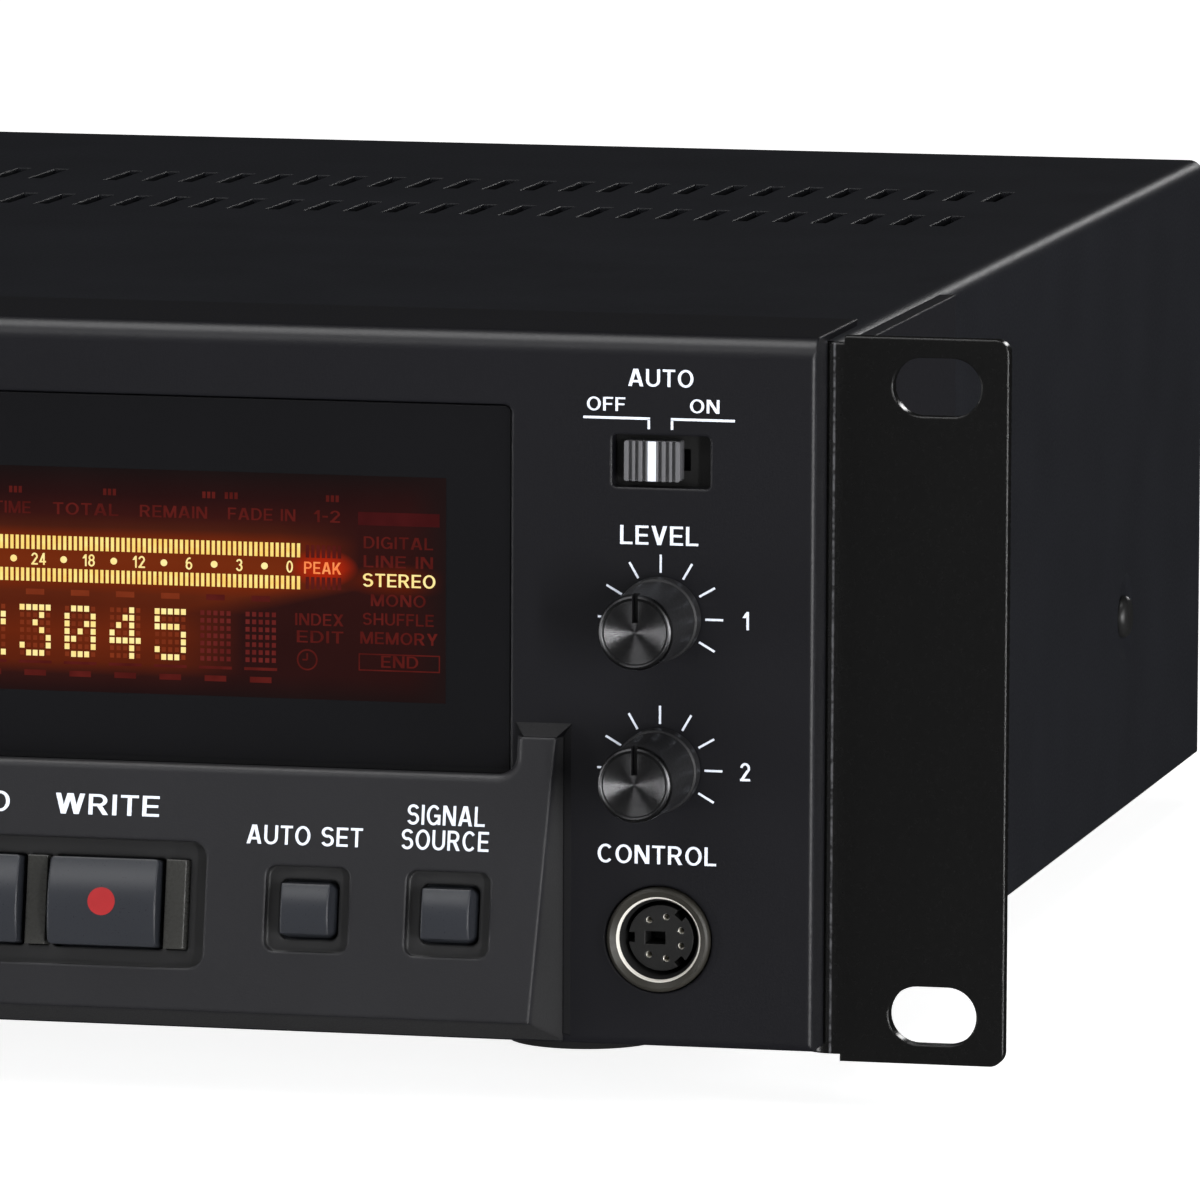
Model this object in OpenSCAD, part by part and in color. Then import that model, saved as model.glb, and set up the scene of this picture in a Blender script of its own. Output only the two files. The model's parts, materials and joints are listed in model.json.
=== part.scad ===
// Rack CD recorder, two rack units high. Millimetres, Z up, front towards -Y.
// The origin is under the middle of the case, on the surface that the feet stand on.
// Heights on the front and inside are given above the bottom edge of the rack ears.

/* [Rack ears] */
// Width over both rack ears
rack_w = 482.6; // [482:0.1:483.4]
// Height of a rack ear
rack_h = 88; // [87.6:0.1:88.2]
// Thickness of the ear sheet
ear_t = 2; // [1.8:0.1:2.2]
// Distance from the outer edge of an ear to the middle of its slots
slot_edge = 8.75; // [8.5:0.05:9]
// Distance between the lower and upper slots
slot_rise = 76.2; // [76:0.1:76.4]
// Length of a rack slot
slot_l = 10.8; // [9.6:0.1:11.6]
// Height of a rack slot
slot_h = 7.1; // [6.6:0.1:7.4]
// Depth of the ear flange along the side of the case
ear_flange_d = 84; // [76:1:96]

/* [Case] */
// Width of the cover
body_w = 433; // [432:0.5:433.6]
// Depth of the case behind the rack ears
body_d = 278; // [274:1:290]
// Height of the cover's top
cover_top = 85.1; // [84.8:0.1:85.4]
// Thickness of the cover sheet
sheet_t = 1; // [0.8:0.1:1.2]
// Height of the feet
foot_h = 7.3; // [6:0.1:9]
// Radius of a foot
foot_r = 11.8; // [10.5:0.1:13]
// Length of a vent slot
vent_l = 15; // [12:0.5:17]
// Width of a vent slot
vent_w = 2; // [1.6:0.1:2.4]
// How far the rear sockets stand out
jack_out = 9.5; // [8.5:0.1:11]

/* [Front panel] */
// How far the panel stands out beyond each side of the cover
panel_over = 2.7; // [2.5:0.1:3]
// Height of the panel's top
panel_top = 88.3; // [88.2:0.1:88.8]
// How far the panel's face stands in front of the ears
panel_proud = 7; // [6.5:0.1:8]
// Wall of the front panel
panel_wall = 2.5; // [2.3:0.1:2.7]
// Distance from a side of the panel to the middle of its control column
column_edge = 18.9; // [18.6:0.1:19.4]
// Distance from the right control column to the display window
window_edge = 18.4; // [17.4:0.1:19.4]
// Distance from the middle of the tray to the display window
window_start = 108; // [107:1:124]

/* [Control shelf] */
// How far the shelf stands out along its lower edge
shelf_low = 8; // [7.5:0.1:8.6]
// How far the shelf stands out at the tops of its horns
shelf_high = 2; // [1.8:0.1:2.4]
// Width of a transport key
key_w = 13.5; // [12.8:0.1:13.7]
// Height of a transport key
key_h = 10.6; // [9.8:0.1:10.8]
// Step from one transport key to the next
key_step = 17.35; // [17.2:0.05:18.2]
// Side of a small square key at its foot
small_key = 6.7; // [6.2:0.1:7.1]
// Travel of a shelf key
key_travel = 0.8; // [0.5:0.1:0.9]
// Radius of the jog dial
jog_r = 13; // [11:0.5:13.5]
// How far the level knobs stand out
knob_len = 14.5; // [14:0.1:16]
// Radius of a level knob
knob_r = 5.1; // [4.6:0.1:5.4]

/* [Disc loader] */
// Distance from the left control column to the middle of the tray
tray_edge = 92.3; // [91.5:0.1:93]
// Radius of the tray's disc well
disc_r = 61; // [60.5:0.1:61.2]
// Travel of the tray
tray_travel = 136; // [130:1:137]
// Angle by which the traverse drops to free the tray
drop_angle = 5; // [4.9:0.1:5.2]

/* [Fits] */
// Running clearance of a shaft in its bore
run_gap = 0.05; // [0.03:0.01:0.08]
// Clearance round a key in its opening
key_gap = 0.3; // [0.25:0.01:0.4]
// Clearance between fixed parts
fit_gap = 0.2; // [0.15:0.01:0.25]

/* [Hidden] */
$fn = 48;

// Depth planes, front to back
depth_all = knob_len + panel_proud + body_d + jack_out;
y_front = -depth_all / 2;
y_panel = y_front + knob_len;
y_ear = y_panel + panel_proud;
y_rear = y_ear + body_d;
y_wall = y_panel + panel_wall;
y_top_end = y_ear + 17.5;
y_cover = y_top_end + fit_gap;
y_lip = y_panel + 12;
y_back = y_rear - 1.4;

// Places across the width
panel_w = body_w + 2 * panel_over;
slot_span = rack_w - 2 * slot_edge;
column_x = panel_w / 2 - column_edge;
window_right = column_x - window_edge;
tray_x = tray_edge - column_x;
window_left = tray_x + window_start;

// Heights
case_low = 0.8;
ear_z = foot_h - case_low;
floor_t = 1.2;
floor_top = case_low + floor_t;
chassis_half = body_w / 2 - sheet_t - fit_gap;
chassis_wall_h = 36;
panel_low = floor_top;
ear_bend = 3.5;
ear_relief = 0.85;

// Front layout: middles, sizes and heights
window_low = 34;
window_high = 79.4;
knob_1_h = 54.1;
knob_2_h = 35.8;
phones_h = 40;
socket_h = 15.1;
switch_h = 73;
slider_travel = 2.9;
slider_x = column_x - 1.2;
power_travel = 3;
open_x = window_left - 19;
open_h = 62;
socket_r = 6.35;
socket_bore = 4.8;
shaft_r = 3;

// Control shelf: profile, tilt and the places of its keys
shelf_z = 5.5;
horn_z = 39.4;
shelf_top = 35;
shelf_half = column_x - 11.8;
shelf_flare = 0.316;
horn_inner = column_x - 17.3;
shelf_wall = 2.2;
tilt = atan2(shelf_low - shelf_high, horn_z - shelf_z);
row_v = 12.75;
trough_depth = 2;
recess_depth = 1.5;
floor_wall = 1.6;
board_n = 11.5;
stem_end = key_travel + 1.7 - board_n;
trough_right = column_x - 55;
record_x = column_x - 67.42;
transport_x = [for (k = [3:-1:0]) record_x - k * key_step];
lens_w = 2.5;
lens_h = 10.8;
lens_dx = key_step / 2;
lens_gap = 0.1;
small_x = [
  35.3 - column_x, 61.3 - column_x, 87.3 - column_x, record_x - 114.35, record_x - 92.35,
  column_x - 42.3, column_x - 24.85
];
jog_x = tray_x + 53;
boss_x = [
  22.3 - column_x, 74.3 - column_x, 115.3 - column_x, record_x - 140.35, record_x - 103.35,
  record_x - 37.35, column_x - 34.3
];

// Loader levels and places, relative to the middle of the tray
door_w = 140;
door_h = 22;
door_mid = 62;
door_t = 4;
tray_top = 66;
tray_low = 61;
tray_rim = 3;
tray_half = disc_r + tray_rim;
rail_out = 3.5;
y_tray = y_panel - 0.5 + door_t;
disc_y = y_tray + 8 + disc_r;
tray_rear = disc_y + disc_r + 20;
frame_front = y_panel + 8;
arm_rear = frame_front + tray_travel + 41;
frame_half = tray_half + rail_out + 0.8;
frame_wall = 2.7;
frame_floor = 47;
frame_top = 80;
frame_rear = arm_rear + 10;
gear_module = 1;
gear_teeth = 18;
gear_r = gear_teeth * gear_module / 2;
rack_line = -53;
gear_x = rack_line + gear_r;
gear_y = y_panel + 28;
pulley_r = 13.2;
motor_x = gear_x + 25;
motor_y = gear_y - 2;
motor_pulley_r = 3.2;
backlash = 0.25;
addendum = 0.8;
dedendum = 1.25;
hinge_y = disc_y + 97.5;
hinge_z = 54;
rod_z = 53.5;
rod_x = 17;
rod_r = 1.5;
screw_x = 24.2;
sled_y = disc_y + 24;
sled_travel = 34;

function up(h) = ear_z + h;

// A box from its two corners
module block(x0, x1, y0, y1, z0, z1) {
  translate([x0, y0, z0]) cube([x1 - x0, y1 - y0, z1 - z0]);
}

// A rectangle with round corners, about the origin
module round_rect(w, h, r) {
  square([w - 2 * r, h], center = true);
  square([w, h - 2 * r], center = true);
  for (sx = [-1, 1], sy = [-1, 1])
    translate([sx * (w / 2 - r), sy * (h / 2 - r)]) circle(r);
}

// A slot with round ends, about the origin
module obround(l, h) {
  square([l - h, h], center = true);
  for (s = [-1, 1]) translate([s * (l - h) / 2, 0]) circle(h / 2);
}

// Extrudes an outline drawn in (Y, Z) along X, about the middle
module along_x(w) {
  rotate([90, 0, 90]) translate([0, 0, -w / 2]) linear_extrude(w) children();
}

// Extrudes an outline drawn in (X, Z) from depth y0 to depth y1
module along_y(y0, y1) {
  translate([0, y1, 0]) rotate([90, 0, 0]) linear_extrude(y1 - y0) children();
}

// Places children on the panel's face: X, height, and outwards
module on_panel(x, h) {
  translate([x, y_panel, up(h)]) rotate([90, 0, 0]) children();
}

// Places children on the shelf's face: X, up the slope, and outwards
module on_shelf(x, v) {
  translate([0, y_panel - shelf_low, up(shelf_z)]) rotate([90 - tilt, 0, 0])
    translate([x, v, 0]) children();
}

// Places children at the loader: X from the tray's middle, heights above the ears' bottom
module in_loader() {
  translate([tray_x, 0, ear_z]) children();
}

// Places children, drawn level, in the traverse's dropped position
module in_traverse() {
  in_loader() translate([0, hinge_y, hinge_z]) rotate([drop_angle, 0, 0])
    translate([0, -hinge_y, -hinge_z]) children();
}

// A shaft along X from x0 to x1
module rod_along_x(r, x0, x1, y, z) {
  translate([x0, y, z]) rotate([0, 90, 0]) cylinder(r = r, h = x1 - x0);
}

// A shaft along Y from y0 to y1
module rod_along_y(r, x, y0, y1, z) {
  translate([x, y1, z]) rotate([90, 0, 0]) cylinder(r = r, h = y1 - y0);
}

// Case

side_screw_y = y_ear + 218.7;
side_screw_h = 27.3;
ear_screw_at = [[25, 14], [45, 30], [65, 14]];
foot_x = body_w / 2 - 38;
foot_y = [y_ear + 50, y_ear + 235];
post_in = 6;
post_top = 10;
power_x = chassis_half - 50.3;
power_half = 40;
board_rear = y_back - 7.6;
power_front = board_rear - 110;
main_front = board_rear - 192;
main_left = tray_x + 80;
main_right = power_x - power_half - 13;
main_post = [for (x = [main_left + post_in, main_right - post_in], y = [main_front + 6, board_rear - 8])
  [x, y]];
power_post = [for (s = [-1, 1], y = [power_front + 6, board_rear - 8]) [power_x + s * (power_half - 5), y]];
rear_screw_x = [19.3 - chassis_half, tray_x + 42, power_x - 27, chassis_half - 11.3];
rear_screw_h = 9;

module chassis_base() {
  color("silver") difference() {
    union() {
      block(-chassis_half, chassis_half, y_ear + 2, y_back + floor_t, up(case_low), up(floor_top));
      for (s = [-1, 1]) {
        x0 = s > 0 ? chassis_half - floor_t : -chassis_half;
        block(x0, x0 + floor_t, y_lip + 0.5, y_back - fit_gap, up(case_low), up(chassis_wall_h));
      }
      lip_half = chassis_half - 30.3;
      block(-lip_half, lip_half, y_lip + 2, y_lip + 2 + floor_t, up(case_low), up(16));
      for (x = rear_screw_x)
        block(x - 8, x + 8, y_back - floor_t, y_back, up(case_low), up(16));
    }
    for (s = [-1, 1], y = foot_y)
      translate([s * foot_x, y, up(case_low) - 1]) cylinder(r = 2.5 + fit_gap, h = 4);
    for (s = [-1, 1]) {
      rod_along_x(1.5 + fit_gap, s * chassis_half - 3, s * chassis_half + 3, side_screw_y,
        up(side_screw_h));
      for (p = ear_screw_at)
        rod_along_x(1.9 + fit_gap, s * chassis_half - 3, s * chassis_half + 3, y_ear + p[0], up(p[1]));
    }
    for (x = rear_screw_x) rod_along_y(1.5 + fit_gap, x, y_back - 4, y_back + 4, up(rear_screw_h));
  }
}

module board_posts() {
  color("silver") for (p = concat(main_post, power_post))
    translate([p[0], p[1], up(floor_top)]) cylinder(r = 3, h = post_top - floor_top);
}

// The folded cover's section in (X, Z)
module cover_section(w, top, low, r) {
  translate([-w / 2, low]) square([w, top - low - r]);
  translate([-w / 2 + r, low]) square([w - 2 * r, top - low]);
  for (s = [-1, 1]) translate([s * (w / 2 - r), top - r]) circle(r);
}

vent_step = 5.38;
vent_last = floor((body_w / 2 - 17.4) / vent_step);
vent_rows = [y_ear + 178.5, y_ear + 215];
vent_skip = 13;

module top_cover() {
  color("dimgray") difference() {
    along_y(y_cover, y_rear) cover_section(body_w, up(cover_top), up(case_low), 2);
    along_y(y_cover - 1, y_rear + 1)
      cover_section(body_w - 2 * sheet_t, up(cover_top) - sheet_t, up(case_low) - 1, 2 - sheet_t);
    for (k = [-vent_last:vent_last], row = [0, 1])
      if (row == 0 || abs(k) != vent_skip)
        block(k * vent_step - vent_w / 2, k * vent_step + vent_w / 2, vent_rows[row] - vent_l / 2,
          vent_rows[row] + vent_l / 2, up(cover_top) - 3, up(cover_top) + 1);
    for (s = [-1, 1]) {
      rod_along_x(1.5 + fit_gap, s * body_w / 2 - 3, s * body_w / 2 + 3, side_screw_y, up(side_screw_h));
      translate([s * body_w / 2, side_screw_y, up(side_screw_h)]) rotate([0, -s * 90, 0])
        translate([0, 0, -0.5]) cylinder(r1 = 7.5, r2 = 4.5, h = 1);
      for (p = ear_screw_at)
        rod_along_x(1.9 + fit_gap, s * body_w / 2 - 3, s * body_w / 2 + 3, y_ear + p[0], up(p[1]));
    }
  }
}

phono_x = [for (k = [2:-1:0]) main_right - 36 - 38 * k];
phono_h = 20;
phono_dx = 7;
optical_x = [main_right - 13, main_right];
optical_h = 18;
inlet_x = power_x;
inlet_h = 27;

module rear_panel() {
  color("gray") difference() {
    block(-chassis_half, chassis_half, y_back, y_back + floor_t, up(floor_top),
      up(cover_top) - sheet_t - 0.5);
    for (x = phono_x, s = [-1, 1])
      rod_along_y(4.15 + fit_gap, x + s * phono_dx, y_back - 1, y_back + 3, up(phono_h));
    for (x = optical_x)
      translate([x, 0, up(optical_h)]) along_y(y_back - 1, y_back + 3)
        square([9.6 + 2 * fit_gap, 9.6 + 2 * fit_gap], center = true);
    translate([inlet_x, 0, up(inlet_h)]) along_y(y_back - 1, y_back + 3)
      square([27 + 2 * fit_gap, 20 + 2 * fit_gap], center = true);
    for (x = rear_screw_x) rod_along_y(1.5 + fit_gap, x, y_back - 1, y_back + 3, up(rear_screw_h));
  }
}

// The ear's folded section in (X, Y): front plate, fold, and flange on the case side
module ear_section() {
  x0 = body_w / 2;
  translate([x0 + ear_bend, y_ear]) square([rack_w / 2 - x0 - ear_bend, ear_t]);
  translate([x0, y_ear + ear_bend]) square([ear_t, ear_flange_d - ear_bend]);
  intersection() {
    translate([x0 + ear_bend, y_ear + ear_bend]) difference() {
      circle(ear_bend);
      circle(ear_bend - ear_t);
    }
    translate([x0, y_ear]) square(ear_bend);
  }
}

module rack_ear_right() {
  corner = 1.7;
  fold_x = body_w / 2 + ear_bend + 1.2;
  color("black") difference() {
    translate([0, 0, ear_z]) linear_extrude(rack_h) ear_section();
    for (s = [-1, 1])
      translate([slot_span / 2, 0, up(rack_h / 2 + s * slot_rise / 2)])
        along_y(y_ear - 1, y_ear + ear_t + 1) obround(slot_l, slot_h);
    block(body_w / 2 - 1, fold_x, y_ear - 1, y_ear + 10, up(rack_h - ear_relief), up(rack_h + 1));
    block(body_w / 2 - 1, fold_x, y_ear - 1, y_ear + 10, up(-1), up(ear_relief));
    block(body_w / 2 - 1, fold_x, y_ear + ear_bend, y_rear, up(cover_top - 0.3), up(rack_h + 1));
    block(body_w / 2 - 1, fold_x, y_ear + ear_bend, y_rear, up(-1), up(2));
    along_y(y_ear - 1, y_ear + ear_t + 1) for (top = [0, 1]) {
      z = top == 1 ? up(rack_h - corner) : up(corner);
      translate([rack_w / 2 - corner, z]) difference() {
        translate([0, top == 1 ? 0 : -corner - 1]) square(corner + 1);
        circle(corner);
      }
    }
    for (p = ear_screw_at)
      rod_along_x(1.9 + fit_gap, body_w / 2 - 1, body_w / 2 + 6, y_ear + p[0], up(p[1]));
  }
}

module rack_ear_left() {
  mirror([1, 0, 0]) rack_ear_right();
}

module feet() {
  color("black") for (s = [-1, 1], y = foot_y)
    translate([s * foot_x, y, 0]) difference() {
      union() {
        cylinder(r1 = foot_r - 2.2, r2 = foot_r - 1, h = 1.2);
        translate([0, 0, 1.2]) cylinder(r1 = foot_r - 1, r2 = foot_r, h = foot_h - 1.2);
        cylinder(r = 2.5, h = foot_h + 3);
      }
      translate([0, 0, -1]) cylinder(r = 6, h = 3.5);
    }
}

module case_screws() {
  color("dimgray") {
    for (s = [-1, 1]) mirror([s < 0 ? 1 : 0, 0, 0])
      translate([body_w / 2 - 0.5, side_screw_y, up(side_screw_h)]) rotate([0, 90, 0]) {
        cylinder(r1 = 2.9, r2 = 2, h = 1.4);
        translate([0, 0, -7]) cylinder(r = 1.5, h = 7.5);
      }
    for (x = rear_screw_x) translate([x, y_back + floor_t, up(rear_screw_h)]) rotate([-90, 0, 0]) {
      cylinder(r1 = 2.9, r2 = 2, h = 1.6);
      translate([0, 0, -7]) cylinder(r = 1.5, h = 7.5);
    }
  }
}

module ear_screws() {
  color("dimgray") for (s = [-1, 1], p = ear_screw_at) mirror([s < 0 ? 1 : 0, 0, 0])
    translate([body_w / 2 + ear_t, y_ear + p[0], up(p[1])]) rotate([0, 90, 0]) {
      cylinder(r1 = 3.6, r2 = 2.6, h = 1.6);
      translate([0, 0, -8]) cylinder(r = 1.9, h = 8.5);
    }
}

// Front

// The panel's section in (Y, Z) with its soft upper and lower front edges
module panel_section() {
  top_r = 2.5;
  low_r = 1;
  z0 = up(panel_low);
  z1 = up(panel_top);
  translate([y_panel, z0 + low_r]) square([y_top_end - y_panel, z1 - z0 - top_r - low_r]);
  translate([y_panel + top_r, z0]) square([y_top_end - y_panel - top_r, z1 - z0]);
  translate([y_panel + low_r, z0]) square([top_r, 4]);
  translate([y_panel + top_r, z1 - top_r]) circle(top_r);
  translate([y_panel + low_r, z0 + low_r]) circle(low_r);
}

// Bosses behind the panel's wall: X, height and length, one row for each board that they carry
display_boss = [for (p = [
    [open_x - 5, 82.4], [window_right - 103.9, 82.4], [window_right - 5.9, 82.4], [open_x - 5, 44]
  ]) [p[0], p[1], 11]];
column_boss = [for (s = [-1, 1], dx = [-7.3, 7.7], high = [0, 1])
  [s * (column_x + dx), s > 0 ? 26 + 37 * high : 30 + 26 * high, 18.5]];

module front_panel() {
  side_r = 0.5;
  inner = panel_w / 2 - panel_wall;
  color("dimgray") difference() {
    union() {
      difference() {
        intersection() {
          along_x(panel_w) panel_section();
          translate([0, (y_panel + y_top_end) / 2 + 5, 0]) linear_extrude(up(panel_top) + 1)
            round_rect(panel_w, y_top_end - y_panel + 10, side_r);
        }
        block(-inner, inner, y_wall, y_rear, up(panel_low) + panel_wall, up(panel_top) - panel_wall);
      }
      for (b = concat(display_boss, column_boss))
        on_panel(b[0], b[1]) translate([0, 0, -b[2]]) cylinder(r = 2, h = b[2] - 1);
    }
    block(-panel_w, panel_w, y_lip, y_rear, 0, up(panel_low) + panel_wall + 1);
    for (s = [-1, 1]) {
      x0 = s > 0 ? inner - 0.5 : -panel_w;
      block(x0, x0 + panel_w - inner + 0.5, y_ear - 0.3, y_rear, 0, up(rack_h - ear_relief + 0.3));
    }
    translate([tray_x, 0, up(door_mid)]) along_y(y_panel - 1, y_wall + 1)
      round_rect(door_w + 1, door_h + 1, 1.2);
    translate([(window_left + window_right) / 2, 0, up((window_low + window_high) / 2)])
      along_y(y_panel - 1, y_wall + 1)
        round_rect(window_right - window_left, window_high - window_low, 1);
    block(7 - shelf_half, shelf_half - 7, y_panel - 1, y_wall + 1, up(5), up(32));
    on_panel(column_x, switch_h) linear_extrude(8, center = true) round_rect(12.1, 6.4, 0.6);
    for (p = [[column_x, knob_1_h], [column_x, knob_2_h], [-column_x, phones_h]])
      on_panel(p[0], p[1]) cylinder(r = shaft_r + 0.6, h = 8, center = true);
    on_panel(column_x, socket_h) cylinder(r = socket_r + fit_gap, h = 8, center = true);
    on_panel(-column_x, socket_h) cylinder(r = 5.5 + fit_gap, h = 8, center = true);
    on_panel(-column_x, switch_h) linear_extrude(8, center = true)
      round_rect(14 + 2 * key_gap, 9 + 2 * key_gap, 1.2);
    on_panel(open_x, open_h) linear_extrude(8, center = true)
      round_rect(12 + 2 * key_gap, 6 + 2 * key_gap, 1);
  }
}

module display_window() {
  w = window_right - window_left;
  h = window_high - window_low;
  color("black") translate([(window_left + window_right) / 2, 0, up((window_low + window_high) / 2)]) {
    along_y(y_panel + 0.5, y_wall + 0.5) round_rect(w - 2 * fit_gap, h - 2 * fit_gap, 0.8);
    along_y(y_wall, y_wall + 1.5) translate([0, 0.8]) square([w + 3, h - 1], center = true);
  }
}

// What a soft edge takes off a corner at the origin, with the solid towards -x and -y
module soft_edge(r) {
  difference() {
    translate([-r, -r]) square([r + 0.5, r + 1]);
    translate([-r, -r]) circle(r);
  }
}

// The clearance above the shelf's ledge, with a soft edge along the ledge and up the horns
module ledge_cut() {
  corner = 2.2;
  soft = 1.1;
  flat_half = horn_inner - corner;
  on_shelf(0, (shelf_top - shelf_z) / cos(tilt)) {
    translate([0, 20, -6]) linear_extrude(10) round_rect(2 * horn_inner, 40, corner);
    along_x(2 * flat_half) soft_edge(soft);
    for (s = [-1, 1]) translate([s * flat_half, corner, 0]) {
      rotate_extrude() translate([corner, 0]) mirror([1, 0]) soft_edge(soft);
      translate([s * corner, 0, 0]) along_y(0, 8) mirror([s > 0 ? 1 : 0, 0]) soft_edge(soft);
    }
  }
}

// The shelf's outer section in (Y, Z)
module shelf_section() {
  translate([y_panel, ear_z]) polygon([
    [0, panel_low + 0.3], [-shelf_low, shelf_z], [-shelf_high, horn_z], [0, horn_z]
  ]);
}

// The hollow behind the shelf's face, in (Y, Z)
module shelf_hollow() {
  slope = (shelf_low - shelf_high) / (horn_z - shelf_z);
  back = shelf_wall / cos(tilt);
  low = 7.4;
  high = 32.6;
  translate([y_panel, ear_z]) polygon([
    [1, 5.2], [-shelf_low + slope * (low - shelf_z) + back, low],
    [-shelf_low + slope * (high - shelf_z) + back, high], [1, high]
  ]);
}

trough_left = transport_x[0] - key_w / 2 - 2.4;
trough_mid = (trough_left + trough_right) / 2;
trough_w = trough_right - trough_left;
trough_h = 15.4;
recess_w = 10.4;

module control_shelf() {
  back = 12;
  color("gray") difference() {
    union() {
      difference() {
        intersection() {
          along_x(2 * shelf_half) shelf_section();
          linear_extrude(up(horn_z) + 1) polygon([
            [-shelf_half, y_panel], [-shelf_half + shelf_flare * back, y_panel - back],
            [shelf_half - shelf_flare * back, y_panel - back], [shelf_half, y_panel]
          ]);
        }
        ledge_cut();
        along_x(2 * shelf_half - 9) shelf_hollow();
      }
      on_shelf(trough_mid, row_v) translate([0, 0, -trough_depth - floor_wall])
        linear_extrude(trough_depth + floor_wall - 0.5) round_rect(trough_w + 3.2, trough_h + 3.2, 3);
      for (x = small_x) on_shelf(x, row_v) translate([0, 0, -recess_depth - floor_wall])
        linear_extrude(recess_depth + floor_wall - 0.5) round_rect(recess_w + 3, recess_w + 3, 2.4);
      for (x = boss_x) on_shelf(x, 24.2) translate([0, 0, -board_n]) cylinder(r = 2.2, h = board_n - 1);
      on_shelf(jog_x, row_v) translate([0, 0, -4]) cylinder(r = 7, h = 3);
    }
    on_shelf(trough_mid, row_v) translate([0, 0, -trough_depth]) linear_extrude(10)
      round_rect(trough_w, trough_h, 2);
    for (x = small_x) on_shelf(x, row_v) translate([0, 0, -recess_depth]) linear_extrude(10)
      round_rect(recess_w, recess_w, 1.3);
    for (x = small_x) on_shelf(x, row_v) linear_extrude(16, center = true)
      round_rect(small_key + 2 * key_gap, small_key + 2 * key_gap, 0.9);
    for (x = transport_x) {
      on_shelf(x, row_v) linear_extrude(16, center = true)
        round_rect(key_w + 2 * key_gap, key_h + 2 * key_gap, 0.7);
      on_shelf(x + lens_dx, row_v) linear_extrude(16, center = true)
        square([lens_w + 2 * lens_gap, lens_h + 2 * lens_gap], center = true);
    }
    on_shelf(jog_x, row_v) cylinder(r = shaft_r + 0.8, h = 16, center = true);
    for (x = boss_x) on_shelf(x, 24.2) translate([0, 0, -board_n - 1]) cylinder(r = 0.9, h = 8);
  }
}

module key_lenses() {
  color("olive") for (x = transport_x) on_shelf(x + lens_dx, row_v) {
    translate([0, 0, -6]) linear_extrude(5.9) square([lens_w, lens_h], center = true);
    translate([0, 0, -trough_depth - floor_wall - 1.2]) linear_extrude(1.2)
      square([lens_w, lens_h + 2.2], center = true);
  }
}

// A transport key: crowned cap, lips that hold it behind the shelf, and a stem to its switch
module transport_key(x) {
  crown = 14;
  rise = 2;
  lip_n = trough_depth + floor_wall + 0.2;
  color("slategray") on_shelf(x, row_v) {
    intersection() {
      translate([0, 0, -5]) linear_extrude(rise + 6) round_rect(key_w, key_h, 0.5);
      translate([-20, 0, rise - crown]) rotate([0, 90, 0]) cylinder(r = crown, h = 40, $fn = 96);
    }
    translate([0, 0, -lip_n - 1.2]) linear_extrude(1.2) square([key_w - 1, key_h + 2.4], center = true);
    translate([0, 0, stem_end]) cylinder(r = 1.5, h = -3.5 - stem_end);
  }
}

module stop_key() { transport_key(transport_x[0]); }
module play_key() { transport_key(transport_x[1]); }
module pause_key() { transport_key(transport_x[2]); }
module record_key() { transport_key(transport_x[3]); }

// One side view of a small key: straight foot, then a taper up to the face
module key_side(rise) {
  draft = 0.45;
  h = small_key / 2;
  polygon([
    [-h, -4.5], [h, -4.5], [h, -recess_depth], [h - draft, rise], [draft - h, rise], [-h, -recess_depth]
  ]);
}

// A small square key: tapered and crowned, held and sprung the same way
module square_key(x) {
  crown = 9;
  rise = 1.4;
  lip_n = recess_depth + floor_wall + 0.2;
  color("slategray") on_shelf(x, row_v) {
    intersection() {
      along_y(-small_key / 2, small_key / 2) key_side(rise + 0.2);
      along_x(small_key) intersection() {
        key_side(rise + 0.2);
        translate([0, rise - crown]) circle(crown, $fn = 96);
      }
      translate([0, 0, -6]) linear_extrude(9) round_rect(small_key, small_key, 1.2);
    }
    translate([0, 0, -lip_n - 1.2]) linear_extrude(1.2)
      square([small_key + 1.8, small_key + 1.8], center = true);
    translate([0, 0, stem_end]) cylinder(r = 1.5, h = -3.5 - stem_end);
  }
}

module menu_key() { square_key(small_x[0]); }
module text_key() { square_key(small_x[1]); }
module finish_key() { square_key(small_x[2]); }
module skip_back_key() { square_key(small_x[3]); }
module skip_forward_key() { square_key(small_x[4]); }
module auto_key() { square_key(small_x[5]); }
module source_key() { square_key(small_x[6]); }

module jog_dial() {
  rise = 6;
  color("dimgray") on_shelf(jog_x, row_v) difference() {
    union() {
      translate([0, 0, 0.4]) cylinder(r = jog_r, h = rise - 1.4);
      translate([0, 0, rise - 1]) cylinder(r1 = jog_r, r2 = jog_r - 1, h = 1);
      translate([0, 0, -board_n + 0.5]) cylinder(r = shaft_r, h = board_n);
    }
    translate([0, 0, rise + 26.6]) sphere(r = 27.2, $fn = 96);
    translate([0, jog_r - 5, rise + 1.6]) sphere(r = 4);
    for (k = [0:35]) rotate([0, 0, 10 * k]) translate([jog_r, 0, 1.4]) cylinder(r = 0.45, h = rise - 3.2);
  }
}

module key_board() {
  color("green") difference() {
    union() {
      on_shelf(0, 2) translate([7.5 - shelf_half, 0, -board_n - 1.6]) cube([2 * shelf_half - 15, 25.5, 1.6]);
      for (x = concat(transport_x, small_x)) on_shelf(x, row_v) translate([0, 0, -board_n - 0.5])
        linear_extrude(2) square(6, center = true);
      on_shelf(jog_x, row_v) translate([0, 0, -board_n - 0.5]) linear_extrude(5) square(12, center = true);
    }
    on_shelf(jog_x, row_v) translate([0, 0, -board_n + 0.2]) cylinder(r = shaft_r + run_gap, h = 20);
  }
}

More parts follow.
